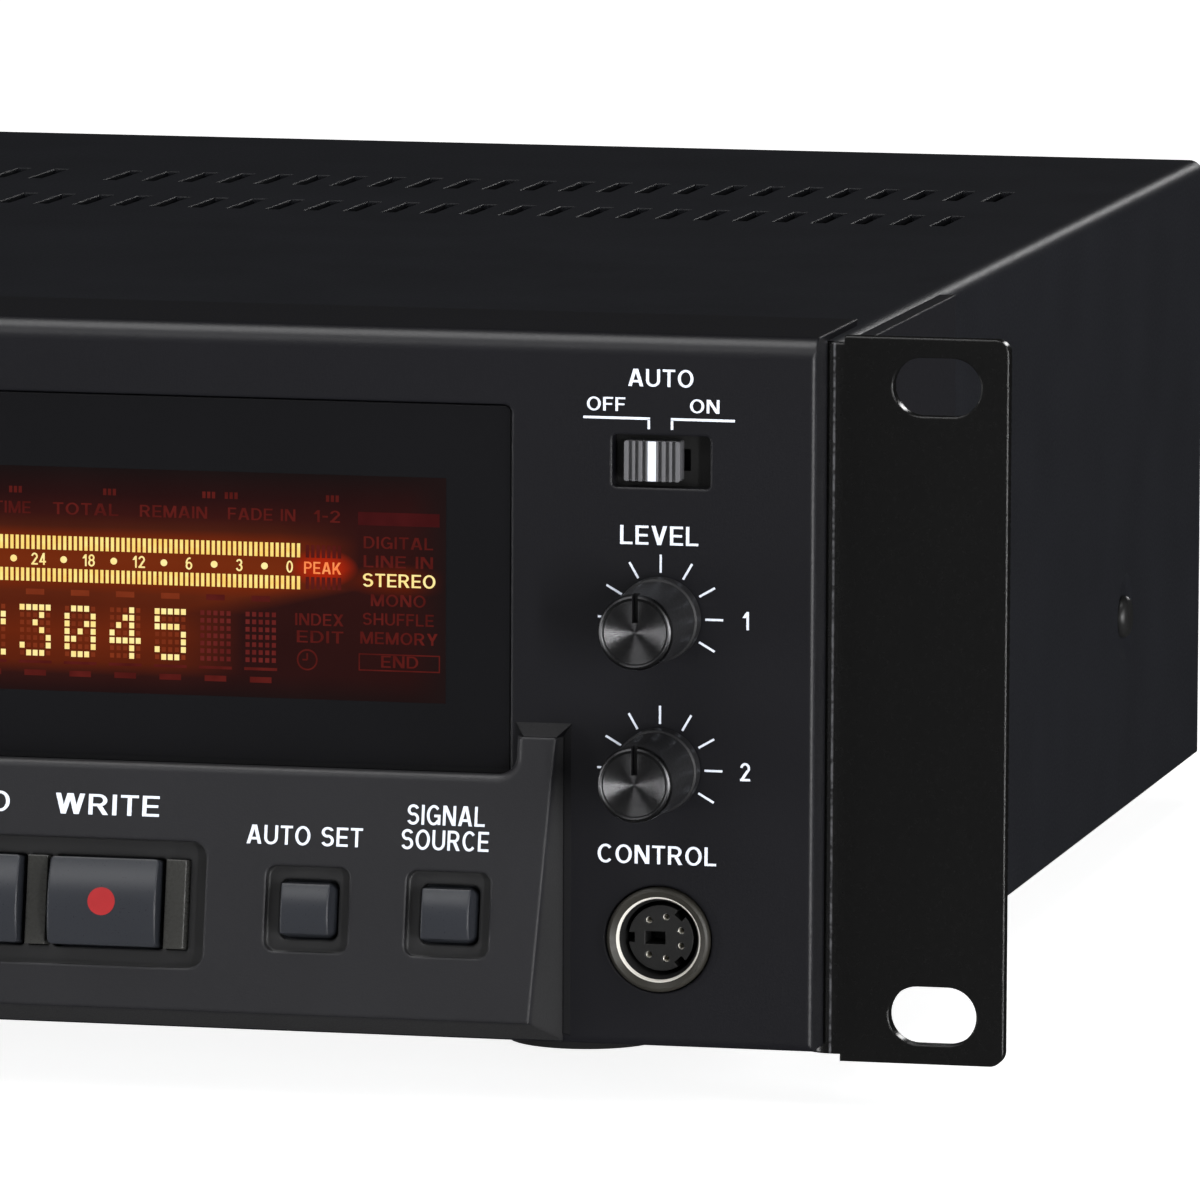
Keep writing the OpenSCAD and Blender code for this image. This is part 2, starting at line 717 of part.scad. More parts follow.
// A level knob: turned cap with a pointer notch, skirt, and the shaft it turns
module knob(x, h) {
  color("dimgray") on_panel(x, h) {
    difference() {
      rotate_extrude() polygon([
        [0, 0.5], [knob_r, 0.5], [knob_r, 2.2], [knob_r - 0.35, 2.6], [knob_r - 0.5, knob_len - 0.8],
        [knob_r - 1.1, knob_len], [0, knob_len]
      ]);
      translate([-0.35, 1, knob_len - 5]) cube([0.7, knob_r, 6]);
    }
    translate([0, 0, -17]) cylinder(r = shaft_r, h = 18);
  }
}

module level_knob_1() { knob(column_x, knob_1_h); }
module level_knob_2() { knob(column_x, knob_2_h); }
module phones_knob() { knob(-column_x, phones_h); }

module mode_slider() {
  w = 6.85;
  h = 4.9;
  color("gray") translate([slider_x, 0, up(switch_h)]) {
    difference() {
      along_y(y_panel + 0.2, y_panel + 2.8) round_rect(w, h, 0.3);
      for (s = [-1, 1], x = [0.98, 1.88, 2.66])
        block(s * x - 0.22, s * x + 0.22, y_panel - 1, y_panel + 0.8, -h, h);
    }
    along_y(y_panel + 2.5, y_panel + 5) square([2, 2], center = true);
  }
}

module right_board() {
  y0 = y_panel + 18.5;
  color("green") difference() {
    union() {
      block(column_x - 10.3, column_x + 11.7, y0, y0 + 1.6, up(7), up(82));
      for (h = [knob_1_h, knob_2_h])
        translate([column_x, 0, up(h)]) along_y(y0 - 7, y0 + 0.5) round_rect(10, 12, 1);
    }
    for (h = [knob_1_h, knob_2_h]) rod_along_y(shaft_r + run_gap, column_x, y0 - 8, y0 - 1, up(h));
  }
}

module mode_switch() {
  color("black") difference() {
    translate([column_x, 0, up(switch_h)]) along_y(y_panel + 2.8, y_panel + 18.5)
      square([14, 8], center = true);
    block(slider_x - 1.3, slider_x + 1.3 + slider_travel, y_panel + 2, y_panel + 5.4, up(switch_h) - 1.3,
      up(switch_h) + 1.3);
  }
}

module left_board() {
  y0 = y_panel + 18.5;
  color("green") difference() {
    union() {
      block(-column_x - 11.7, 10.3 - column_x, y0, y0 + 1.6, up(26), up(82));
      translate([-column_x, 0, up(phones_h)]) along_y(y0 - 7, y0 + 0.5) round_rect(10, 12, 1);
      translate([-column_x, 0, up(switch_h)]) along_y(y0 - 3.4, y0 + 0.5) square([12, 10], center = true);
    }
    rod_along_y(shaft_r + run_gap, -column_x, y0 - 8, y0 - 1, up(phones_h));
  }
}

module power_button() {
  color("dimgray") on_panel(-column_x, switch_h) {
    translate([0, 0, -6]) linear_extrude(8.7) round_rect(14, 9, 1);
    translate([0, 0, 2.7]) linear_extrude(0.4) round_rect(13.2, 8.2, 0.8);
    translate([0, 0, -panel_wall - 1.8]) linear_extrude(1.4) square([16.6, 11.4], center = true);
    translate([0, 0, -11.5]) cylinder(r = 2, h = 6);
  }
}

module open_key() {
  color("slategray") on_panel(open_x, open_h) {
    translate([0, 0, -4]) linear_extrude(5) round_rect(12, 6, 0.8);
    translate([0, 0, -panel_wall - 1.5]) linear_extrude(1.2) square([14, 8], center = true);
    translate([0, 0, -5]) cylinder(r = 1.5, h = 2);
  }
}

module display_module() {
  color("darkred") {
    block(window_right - 123.9, window_right - 3.9, y_panel + 5.5, y_panel + 11, up(40), up(73.5));
    block(open_x - 9, window_right - 1.9, y_panel + 11, y_panel + 12.6, up(36),
      up(panel_top) - panel_wall - 1);
    block(open_x - 3, open_x + 3, y_panel + 6, y_panel + 11, up(open_h) - 3, up(open_h) + 3);
  }
}

module phones_jack() {
  color("dimgray") difference() {
    union() {
      on_panel(-column_x, socket_h) translate([0, 0, -panel_wall - 1]) cylinder(r = 5.5, h = panel_wall + 1);
      on_panel(-column_x, socket_h) cylinder(r = 6.6, h = 1.4);
      block(-column_x - 7, -column_x + 7, y_wall, y_wall + 30, up(socket_h) - 7, up(socket_h) + 7);
    }
    on_panel(-column_x, socket_h) translate([0, 0, -28]) cylinder(r = 3.2, h = 40);
  }
}

module socket_shell() {
  color("silver") on_panel(column_x, socket_h) difference() {
    union() {
      translate([0, 0, -18.5]) cylinder(r = socket_r, h = 18.8);
      translate([0, 0, 0.3]) cylinder(r1 = socket_r, r2 = socket_r - 0.4, h = 0.6);
    }
    translate([0, 0, -10]) cylinder(r = socket_bore, h = 14);
    translate([0, 0, 0.2]) cylinder(r1 = socket_bore, r2 = socket_bore + 0.8, h = 0.8);
  }
}

// The socket's insert: pin holes on a ring, a key slot and side notches
module socket_insert() {
  face = -1.2;
  insert_r = socket_bore - 0.8;
  color("black") on_panel(column_x, socket_h) difference() {
    translate([0, 0, -10]) cylinder(r = insert_r, h = 10 + face);
    for (a = [21, 77, 126], s = [-1, 1])
      rotate([0, 0, s * a]) translate([2.6, 0, -6]) cylinder(r = 0.45, h = 8);
    translate([-1.95, -0.78, -6]) cube([2.5, 1.56, 8]);
    for (a = [50, 180, 310]) rotate([0, 0, a]) translate([insert_r - 0.75, -0.6, -6]) cube([2, 1.2, 8]);
  }
}

// Inside and rear

module main_board() {
  z0 = up(post_top) + 1.6;
  color("darkgreen") {
    block(main_left, main_right, main_front, board_rear, up(post_top), z0);
    for (p = [[main_left + 38, 36], [main_right - 62, 56], [main_right - 32, 26]])
      translate([p[0], main_front + p[1], 0]) block(-9, 9, -9, 9, z0 - 0.5, z0 + 2.4);
    for (x = [main_left + 16:22:main_right - 16]) translate([x, board_rear - 66, z0 - 0.5])
      cylinder(r = 4, h = 11.5);
    block(main_left + 4, main_left + 48, main_front + 6, main_front + 11, z0 - 0.5, z0 + 7);
  }
}

module power_board() {
  z0 = up(post_top) + 1.6;
  color("darkgreen") {
    block(power_x - power_half, power_x + power_half, power_front, board_rear, up(post_top), z0);
    translate([power_x, 0, 0]) {
      block(-20, 15, board_rear - 76, board_rear - 44, z0 - 0.5, z0 + 30);
      for (s = [-1, 1]) translate([s * 27, board_rear - 28, z0 - 0.5]) cylinder(r = 8, h = 25.5);
      for (k = [0:4]) block(-15 + 6 * k, -13 + 6 * k, power_front + 12, power_front + 24, z0 + 3, z0 + 28);
      block(-17, 13, power_front + 12, power_front + 24, z0 - 0.5, z0 + 3.5);
    }
  }
}

module mains_inlet() {
  color("black") translate([inlet_x, 0, up(inlet_h)]) {
    difference() {
      union() {
        along_y(y_back - 18, y_back + floor_t) square([27, 20], center = true);
        along_y(y_back + floor_t, y_back + floor_t + 2.2) round_rect(31, 24, 2);
      }
      along_y(y_back - 15, y_rear + 6) polygon([
        [-12, -8.3], [12, -8.3], [12, 4.5], [8.2, 8.3], [-8.2, 8.3], [-12, 4.5]
      ]);
    }
    for (p = [[-7, -2.5], [7, -2.5], [0, 1.5]])
      translate([p[0], 0, p[1]]) along_y(y_back - 16, y_back + 1) square([2, 4], center = true);
  }
}

module phono_sockets() {
  color("black") for (x = phono_x) difference() {
    union() {
      block(x - 13, x + 13, y_back - 14, y_back, up(post_top) + 1.6, up(phono_h) + 7);
      for (s = [-1, 1]) {
        rod_along_y(4.15, x + s * phono_dx, y_back - 1, y_rear + jack_out, up(phono_h));
      }
    }
    for (s = [-1, 1])
      rod_along_y(1.75, x + s * phono_dx, y_back - 6, y_rear + jack_out + 1, up(phono_h));
  }
}

module optical_sockets() {
  color("black") for (x = optical_x) difference() {
    union() {
      block(x - 5.5, x + 5.5, y_back - 10, y_back, up(post_top) + 1.6, up(optical_h) + 6);
      translate([x, 0, up(optical_h)]) along_y(y_back - 1, y_back + 2.4) square(9.6, center = true);
    }
    translate([x, 0, up(optical_h)]) along_y(y_back + 1, y_back + 4) square([7.4, 7.4], center = true);
  }
}

// Disc loader

module loader_frame() {
  outer = frame_half + frame_wall;
  color("gray") in_loader() difference() {
    union() {
      for (s = [-1, 1]) mirror([s < 0 ? 1 : 0, 0, 0]) {
        block(frame_half, outer, frame_front, frame_rear, frame_floor, frame_top);
        block(tray_half + 0.6, frame_half + 0.1, frame_front, frame_rear, tray_low - 2.5, tray_low - 0.3);
        block(tray_half + 0.6, frame_half + 0.1, frame_front, frame_rear, tray_low + 3.3, tray_low + 5.3);
        for (y = [frame_front + 17, frame_rear - 12])
          block(59, outer, y - 5, y + 5, floor_top, frame_floor + 1);
        block(33.5, 40, hinge_y - 6, hinge_y + 6, frame_floor, hinge_z + 5);
      }
      block(-outer, outer, frame_front, frame_rear, frame_floor, frame_floor + 2);
      translate([gear_x, gear_y, frame_floor]) cylinder(r = 4, h = 3.2);
      translate([gear_x, gear_y, frame_floor]) cylinder(r = 2, h = tray_low - 0.6 - frame_floor);
    }
    block(-33.5, 33.5, disc_y - 31, hinge_y + 12, frame_floor - 1, frame_floor + 3);
    translate([motor_x, motor_y, frame_floor - 1]) cylinder(r = 1.6, h = 4);
    rod_along_x(2.5 + run_gap, -50, 50, hinge_y, hinge_z);
  }
}

module clamp_bridge() {
  outer = frame_half + frame_wall;
  color("silver") in_loader() difference() {
    union() {
      block(-outer, outer, disc_y - 15, disc_y + 15, frame_top, frame_top + 1.2);
      translate([0, disc_y, frame_top]) cylinder(r = 20, h = 1.2);
    }
    translate([0, disc_y, frame_top - 1]) cylinder(r = 12.5, h = 4);
  }
}

module clamp_puck() {
  color("white") in_loader() translate([0, disc_y, 0]) difference() {
    union() {
      translate([0, 0, 68.6]) cylinder(r = 13.6, h = 2.4);
      translate([0, 0, 70]) cylinder(r = 11.8, h = frame_top + 1.2 - 70 + 0.5);
      translate([0, 0, frame_top + 1.2]) cylinder(r = 14.5, h = 1.6);
    }
    translate([0, 0, 60]) cylinder(r = 8, h = 12);
    translate([0, 0, 74]) cylinder(r = 9.5, h = 12);
  }
}

module loading_motor() {
  color("silver") in_loader() translate([motor_x, motor_y, 0]) difference() {
    union() {
      translate([0, 0, 30]) cylinder(r = 10, h = frame_floor - 30);
      translate([0, 0, 28]) cylinder(r = 3, h = 3);
    }
    translate([0, 0, 32]) cylinder(r = 1 + run_gap, h = 20);
  }
}

// The outline of a belt run over a wheel of radius a at pa and one of radius b at pb
function arc(c, r, from, to, n) = [for (k = [0:n]) c + r * [cos(from + (to - from) * k / n),
  sin(from + (to - from) * k / n)]];
module belt_outline(pa, a, pb, b) {
  d = pb - pa;
  dir = atan2(d[1], d[0]);
  lean = acos((a - b) / norm(d));
  polygon(concat(arc(pa, a, dir + lean, dir + 360 - lean, 36), arc(pb, b, dir - lean, dir + lean, 18)));
}

module loading_belt() {
  slack = 0.3;
  thick = 1.1;
  color("black") in_loader() translate([0, 0, 51.5]) linear_extrude(1.4) difference() {
    belt_outline([gear_x, gear_y], pulley_r + slack + thick, [motor_x, motor_y],
      motor_pulley_r + slack + thick);
    belt_outline([gear_x, gear_y], pulley_r + slack, [motor_x, motor_y], motor_pulley_r + slack);
  }
}

// Half of a tooth's width on the pitch line, less the backlash
tooth_half = (PI * gear_module / 2 - backlash) / 2;

// A point on the involute flank at radius r, on the side given by s
base_r = gear_r * cos(20);
function inv_deg(r) = let (a = acos(min(1, base_r / r))) tan(a) * 180 / PI - a;
function flank(r, s, turn) = let (
    half = tooth_half / gear_r * 180 / PI + inv_deg(gear_r) - inv_deg(max(r, base_r)),
    a = turn + s * half
  ) [r * cos(a), r * sin(a)];
flank_steps = 4;
root_r = gear_r - dedendum;
tip_r = gear_r + addendum;
function tooth(turn) = concat(
  [flank(root_r, -1, turn)],
  [for (k = [0:flank_steps]) flank(base_r + (tip_r - base_r) * k / flank_steps, -1, turn)],
  [for (k = [flank_steps:-1:0]) flank(base_r + (tip_r - base_r) * k / flank_steps, 1, turn)],
  [flank(root_r, 1, turn)]
);

module drive_gear() {
  color("white") in_loader() translate([gear_x, gear_y, 0]) difference() {
    union() {
      translate([0, 0, 50.3]) cylinder(r = pulley_r + 2, h = 0.8);
      translate([0, 0, 50.3]) cylinder(r = pulley_r, h = 3.8);
      translate([0, 0, 53.3]) cylinder(r = pulley_r + 2, h = 0.8);
      translate([0, 0, 53.5]) linear_extrude(6.6)
        polygon([for (k = [0:gear_teeth - 1]) each tooth(360 * k / gear_teeth)]);
    }
    translate([0, 0, 40]) cylinder(r = 2 + run_gap, h = 30);
  }
}

module motor_pulley() {
  color("gold") in_loader() translate([motor_x, motor_y, 0]) {
    translate([0, 0, 33]) cylinder(r = 1, h = 20);
    translate([0, 0, 50.3]) cylinder(r = motor_pulley_r + 1.6, h = 0.8);
    translate([0, 0, 50.3]) cylinder(r = motor_pulley_r, h = 3.8);
    translate([0, 0, 53.3]) cylinder(r = motor_pulley_r + 1.6, h = 0.8);
  }
}

// The rack's outline under the tray, in (X, Y), with a gap facing the drive gear
module rack_outline() {
  pitch = PI * gear_module;
  root = rack_line - dedendum;
  first = -3;
  last = floor((arm_rear - 4 - gear_y) / pitch);
  translate([-62, gear_y + first * pitch - 1]) square([root + 62, (last - first + 1) * pitch + 1]);
  for (k = [first:last]) translate([rack_line, gear_y + (k + 0.5) * pitch]) polygon([
    [-dedendum - 0.2, -tooth_half - dedendum * tan(20)], [addendum, -tooth_half + addendum * tan(20)],
    [addendum, tooth_half - addendum * tan(20)], [-dedendum - 0.2, tooth_half + dedendum * tan(20)]
  ]);
}

module disc_tray() {
  slot = 22;
  color("dimgray") in_loader() difference() {
    union() {
      block(-tray_half, tray_half, y_tray, tray_rear, tray_low, tray_top);
      for (s = [-1, 1]) mirror([s < 0 ? 1 : 0, 0, 0]) {
        block(tray_half - 12, tray_half, tray_rear - 1, arm_rear, tray_low, tray_low + 4);
        block(tray_half - 1, tray_half + rail_out, y_tray + 2, arm_rear, tray_low, tray_low + 3);
      }
      translate([0, 0, tray_low - 5]) linear_extrude(5.5) rack_outline();
    }
    translate([0, disc_y, tray_top - 2.2]) cylinder(r = disc_r, h = 10, $fn = 96);
    translate([0, disc_y, tray_top - 3.4]) cylinder(r = 41, h = 10, $fn = 96);
    translate([0, disc_y, tray_low - 1]) cylinder(r = slot, h = 10);
    block(-slot, slot, disc_y, arm_rear, tray_low - 1, tray_top + 1);
    for (s = [-1, 1]) translate([s * (tray_half - 3), disc_y, tray_low + 2.6]) cylinder(r = 10, h = 10);
  }
}

module tray_door() {
  color("dimgray") in_loader() {
    translate([0, 0, door_mid]) along_y(y_panel, y_tray) round_rect(door_w, door_h, 0.8);
    translate([0, 0, door_mid]) along_y(y_panel - 0.5, y_panel) round_rect(door_w - 1, door_h - 1, 0.6);
  }
}

module traverse() {
  color("slategray") in_traverse() difference() {
    union() {
      block(-29, 29, disc_y - 24, hinge_y + 4, 56, 58.5);
      for (s = [-1, 1]) mirror([s < 0 ? 1 : 0, 0, 0]) {
        block(24, 29, hinge_y - 6, hinge_y + 5, 50, 57);
        rod_along_x(2.5, 28, 38, hinge_y, hinge_z);
        for (y = [disc_y + 8, disc_y + 74]) block(14.5, 20, y, y + 4, 51, 57);
      }
      block(screw_x - 2.5, screw_x + 3, disc_y + 8, disc_y + 12, 51, 57);
    }
    block(-21, 21, disc_y + 12.2, disc_y + 73.8, 50, 60);
    translate([0, disc_y, 50]) cylinder(r = 8, h = 12);
    for (s = [-1, 1]) rod_along_y(rod_r + run_gap, s * rod_x, disc_y + 8.5, disc_y + 77.5, rod_z);
    rod_along_y(1 + run_gap, screw_x, disc_y + 8.5, disc_y + 20, rod_z);
  }
}

module spindle_motor() {
  color("silver") in_traverse() translate([0, disc_y, 0]) difference() {
    union() {
      translate([0, 0, 47]) cylinder(r = 13, h = 9);
      translate([0, 0, 55]) cylinder(r = 5, h = 4);
      translate([0, 0, 45.6]) cylinder(r = 4, h = 2);
    }
    translate([0, 0, 47]) cylinder(r = rod_r + run_gap, h = 20);
  }
}

module turntable() {
  color("black") in_traverse() translate([0, disc_y, 0]) {
    translate([0, 0, 48]) cylinder(r = rod_r, h = 17);
    translate([0, 0, 63.8]) cylinder(r = 14, h = 2);
    translate([0, 0, 65.8]) cylinder(r1 = 7.4, r2 = 6.6, h = 2.2);
    translate([0, 0, 60.5]) cylinder(r1 = 4, r2 = 6, h = 3.5);
  }
}

module guide_rods() {
  color("silver") in_traverse() for (s = [-1, 1])
    rod_along_y(rod_r, s * rod_x, disc_y + 8.5, disc_y + 77.5, rod_z);
}

module pickup_sled() {
  color("dimgray") in_traverse() difference() {
    union() {
      block(-20, 20, sled_y - 10, sled_y + 10, 50.8, 56.2);
      block(-11, 11, sled_y - 6, sled_y + 6, 56, 60);
      translate([0, sled_y, 59.5]) cylinder(r = 4, h = 3.2);
      block(19.5, screw_x - 2.4, sled_y - 3, sled_y + 3, 52.5, 54.5);
    }
    for (s = [-1, 1]) rod_along_y(rod_r + run_gap, s * rod_x, sled_y - 20, sled_y + 20, rod_z);
    translate([0, sled_y, 61.5]) cylinder(r = 2.6, h = 3);
  }
}

module sled_motor() {
  color("silver") in_traverse() difference() {
    block(screw_x - 6, screw_x + 4.8, disc_y + 79, disc_y + 91, 48, 56);
    rod_along_y(1 + run_gap, screw_x, disc_y + 70, disc_y + 87, rod_z);
  }
}

// The lead screw: a plain rod of the thread's outer size, with a journal at each end
module lead_screw() {
  color("silver") in_traverse() {
    rod_along_y(1.7, screw_x, disc_y + 12.4, disc_y + 78.6, rod_z);
    rod_along_y(1, screw_x, disc_y + 9, disc_y + 86, rod_z);
  }
}

chassis_base();
board_posts();
top_cover();
rear_panel();
front_panel();
control_shelf();
display_window();
rack_ear_left();
rack_ear_right();
feet();
case_screws();
ear_screws();
display_module();
key_board();
mode_switch();
right_board();
left_board();
main_board();
power_board();
mains_inlet();
phono_sockets();
optical_sockets();
phones_jack();
socket_shell();
socket_insert();
key_lenses();
loader_frame();
clamp_bridge();
loading_motor();
loading_belt();
disc_tray();
tray_door();
drive_gear();
motor_pulley();
traverse();
spindle_motor();
turntable();
guide_rods();
pickup_sled();
sled_motor();
lead_screw();
clamp_puck();
power_button();
open_key();
phones_knob();
level_knob_1();
level_knob_2();
mode_slider();
jog_dial();
stop_key();
play_key();
pause_key();
record_key();
auto_key();
source_key();
skip_back_key();
skip_forward_key();
menu_key();
text_key();
finish_key();
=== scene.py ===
import json
import math

import bmesh
import bpy
from mathutils import Matrix, Vector


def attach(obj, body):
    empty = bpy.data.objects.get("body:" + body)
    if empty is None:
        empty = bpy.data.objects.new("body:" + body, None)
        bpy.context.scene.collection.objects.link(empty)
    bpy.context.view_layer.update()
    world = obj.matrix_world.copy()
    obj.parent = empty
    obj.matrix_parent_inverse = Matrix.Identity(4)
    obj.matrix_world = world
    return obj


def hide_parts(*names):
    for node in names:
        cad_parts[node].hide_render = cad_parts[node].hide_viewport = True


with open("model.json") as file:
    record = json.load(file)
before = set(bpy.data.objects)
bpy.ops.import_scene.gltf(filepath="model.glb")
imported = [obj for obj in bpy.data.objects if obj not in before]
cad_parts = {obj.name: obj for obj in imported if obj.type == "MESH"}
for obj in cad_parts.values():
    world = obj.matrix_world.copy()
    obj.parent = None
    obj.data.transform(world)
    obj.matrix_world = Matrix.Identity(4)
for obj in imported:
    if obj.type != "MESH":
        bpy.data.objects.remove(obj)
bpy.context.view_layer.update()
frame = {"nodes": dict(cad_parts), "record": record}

# Places that several pieces share, millimetres. Heights on the front and rear count from EAR_Z.

MM = 0.001
EAR_Z = 6.5  # foot of the rack ears
PANEL_Y = -140.0  # face of the front panel
WINDOW_Y = -139.5  # face of the display window
REAR_Y = 144.8  # face of the rear panel
SHELF_LOW = 8.0  # how far the shelf's lower edge stands out from the panel
SHELF_FOOT = 5.5  # height of that edge
TILT = math.atan2(6.0, 33.9)  # the shelf's lean, from the run and the rise of its slope
ROW_V = 12.75  # middle of the transport keys, measured up the shelf
TRANSPORT_X = {"STOP": 80.83, "PLAY": 98.18, "HOLD": 115.53, "WRITE": 132.88}
COLUMN_X = 200.3  # middle of the column of controls at each end
LEVEL_Z = {"1": 54.1, "2": 35.8}  # heights of the level knobs
PHONES_Z = 40.0  # height of the phones knob
SOCKET_Z = 15.1  # height of the round socket and of the phones jack
PRINT_T = 0.04  # thickness of printing


# Colours and materials

NOISE_LOW, NOISE_HIGH = 0.3, 0.7  # most values of a coarse noise lie between these
GRAIN_LOW, GRAIN_HIGH = 0.25, 0.75  # the same for the fine grain
UNEVEN = 0.15  # share by which the roughness varies
SPECK_EDGE = 0.04  # softness of the specks' edges
UNLIT = (0.002, 0.001, 0.001, 1.0)  # what the display reflects


def lin(r, g, b):
    """A screen colour, 0 to 255, as linear light."""
    def one(c):
        c = c / 255.0
        return c / 12.92 if c <= 0.04045 else ((c + 0.055) / 1.055) ** 2.4
    return (one(r), one(g), one(b), 1.0)


def scaled(colour, k):
    return tuple(min(1.0, c * k) for c in colour[:3]) + (1.0,)


class Nodes:
    """Adds and links shader nodes, in a new material by name or in one that exists."""

    def __init__(self, mat):
        if isinstance(mat, str):
            mat = bpy.data.materials.new(mat)
            mat.use_nodes = True
        self.mat = mat
        self.tree = mat.node_tree
        self.shader = self.tree.nodes["Principled BSDF"]

    def add(self, kind, **values):
        node = self.tree.nodes.new(kind)
        for key, value in values.items():
            setattr(node, key, value)
        return node

    def put(self, value, socket):
        """Links an output to a socket, or sets a plain value there."""
        if isinstance(value, bpy.types.NodeSocket):
            self.tree.links.new(value, socket)
        else:
            socket.default_value = value

    def feed(self, name, value):
        """Puts a value or an output into one of the shader's own sockets."""
        self.put(value, self.shader.inputs[name])

    def place(self):
        return self.add("ShaderNodeTexCoord").outputs["Object"]

    def along(self, axis):
        split = self.add("ShaderNodeSeparateXYZ")
        self.put(self.place(), split.inputs["Vector"])
        return split.outputs[axis]

    def noise(self, scale, detail=2.0):
        node = self.add("ShaderNodeTexNoise")
        for key, value in (("Scale", scale), ("Detail", detail), ("Vector", self.place())):
            self.put(value, node.inputs[key])
        return node.outputs["Fac"]

    def remap(self, value, from0, from1, to0=0.0, to1=1.0):
        node = self.add("ShaderNodeMapRange")
        for key, number in (("Value", value), ("From Min", from0), ("From Max", from1),
                            ("To Min", to0), ("To Max", to1)):
            self.put(number, node.inputs[key])
        return node.outputs["Result"]

    def past(self, axis, at, soft, to0=0.0, to1=1.0):
        """One value before a place along an axis and another beyond it, millimetres."""
        return self.remap(self.along(axis), at * MM, (at + soft) * MM, to0, to1)

    def mix(self, fac, a, b):
        node = self.add("ShaderNodeMix", data_type="RGBA")
        for key, value in (("Factor", fac), ("A", a), ("B", b)):
            self.put(value, node.inputs[key])
        return node.outputs["Result"]

    def math(self, operation, *values):
        node = self.add("ShaderNodeMath", operation=operation)
        for k, value in enumerate(values):
            self.put(value, node.inputs[k])
        return node.outputs["Value"]

    def times(self, a, b):
        return self.math("MULTIPLY", a, b)

    def vector(self, operation, *values):
        node = self.add("ShaderNodeVectorMath", operation=operation)
        for k, value in enumerate(values):
            self.put(value, node.inputs[k])
        return node.outputs["Value" if operation == "LENGTH" else "Vector"]

    def over(self, fac, colour):
        """Lays a colour over the base colour where the factor is 1."""
        base = self.shader.inputs["Base Color"].links[0].from_socket
        self.feed("Base Color", self.mix(fac, base, colour))


def finish(name, colour, rough, metal=0.0, spec=0.5, vary=0.12, vary_scale=60.0, grain=3000.0,
           bump=0.1, bump_depth=0.04, edge=0.0, speck=None):
    """A solid finish: mottled colour, uneven roughness, fine grain and softly rounded edges.

    The depth of the grain and the radius of the edges are in millimetres.
    """
    n = Nodes(name)
    patch = n.remap(n.noise(vary_scale, 3.0), NOISE_LOW, NOISE_HIGH)
    fine = n.noise(grain)
    base = n.mix(patch, scaled(colour, 1.0 - vary), scaled(colour, 1.0 + vary))
    if speck:
        scale, level, tint = speck
        base = n.mix(n.remap(n.noise(scale, 1.0), level, level + SPECK_EDGE), base, tint)
    n.feed("Base Color", base)
    n.feed("Roughness", n.remap(fine, GRAIN_LOW, GRAIN_HIGH, rough * (1.0 - UNEVEN),
                                min(1.0, rough * (1.0 + UNEVEN))))
    n.feed("Metallic", metal)
    n.feed("Specular IOR Level", spec)
    relief = n.add("ShaderNodeBump")
    for key, value in (("Strength", bump), ("Distance", bump_depth * MM), ("Height", fine)):
        n.put(value, relief.inputs[key])
    if edge:
        bevel = n.add("ShaderNodeBevel", samples=6)
        n.put(edge * MM, bevel.inputs["Radius"])
        n.put(bevel.outputs["Normal"], relief.inputs["Normal"])
    n.feed("Normal", relief.outputs["Normal"])
    return n.mat


def glow(name, low, high, strength=1.0, scale=300.0):
    """A display segment: light that varies a little over the surface."""
    n = Nodes(name)
    n.feed("Base Color", UNLIT)
    n.feed("Roughness", 0.5)
    n.feed("Specular IOR Level", 0.0)
    n.feed("Emission Color", n.mix(n.remap(n.noise(scale), NOISE_LOW, NOISE_HIGH), low, high))
    n.feed("Emission Strength", strength)
    return n.mat


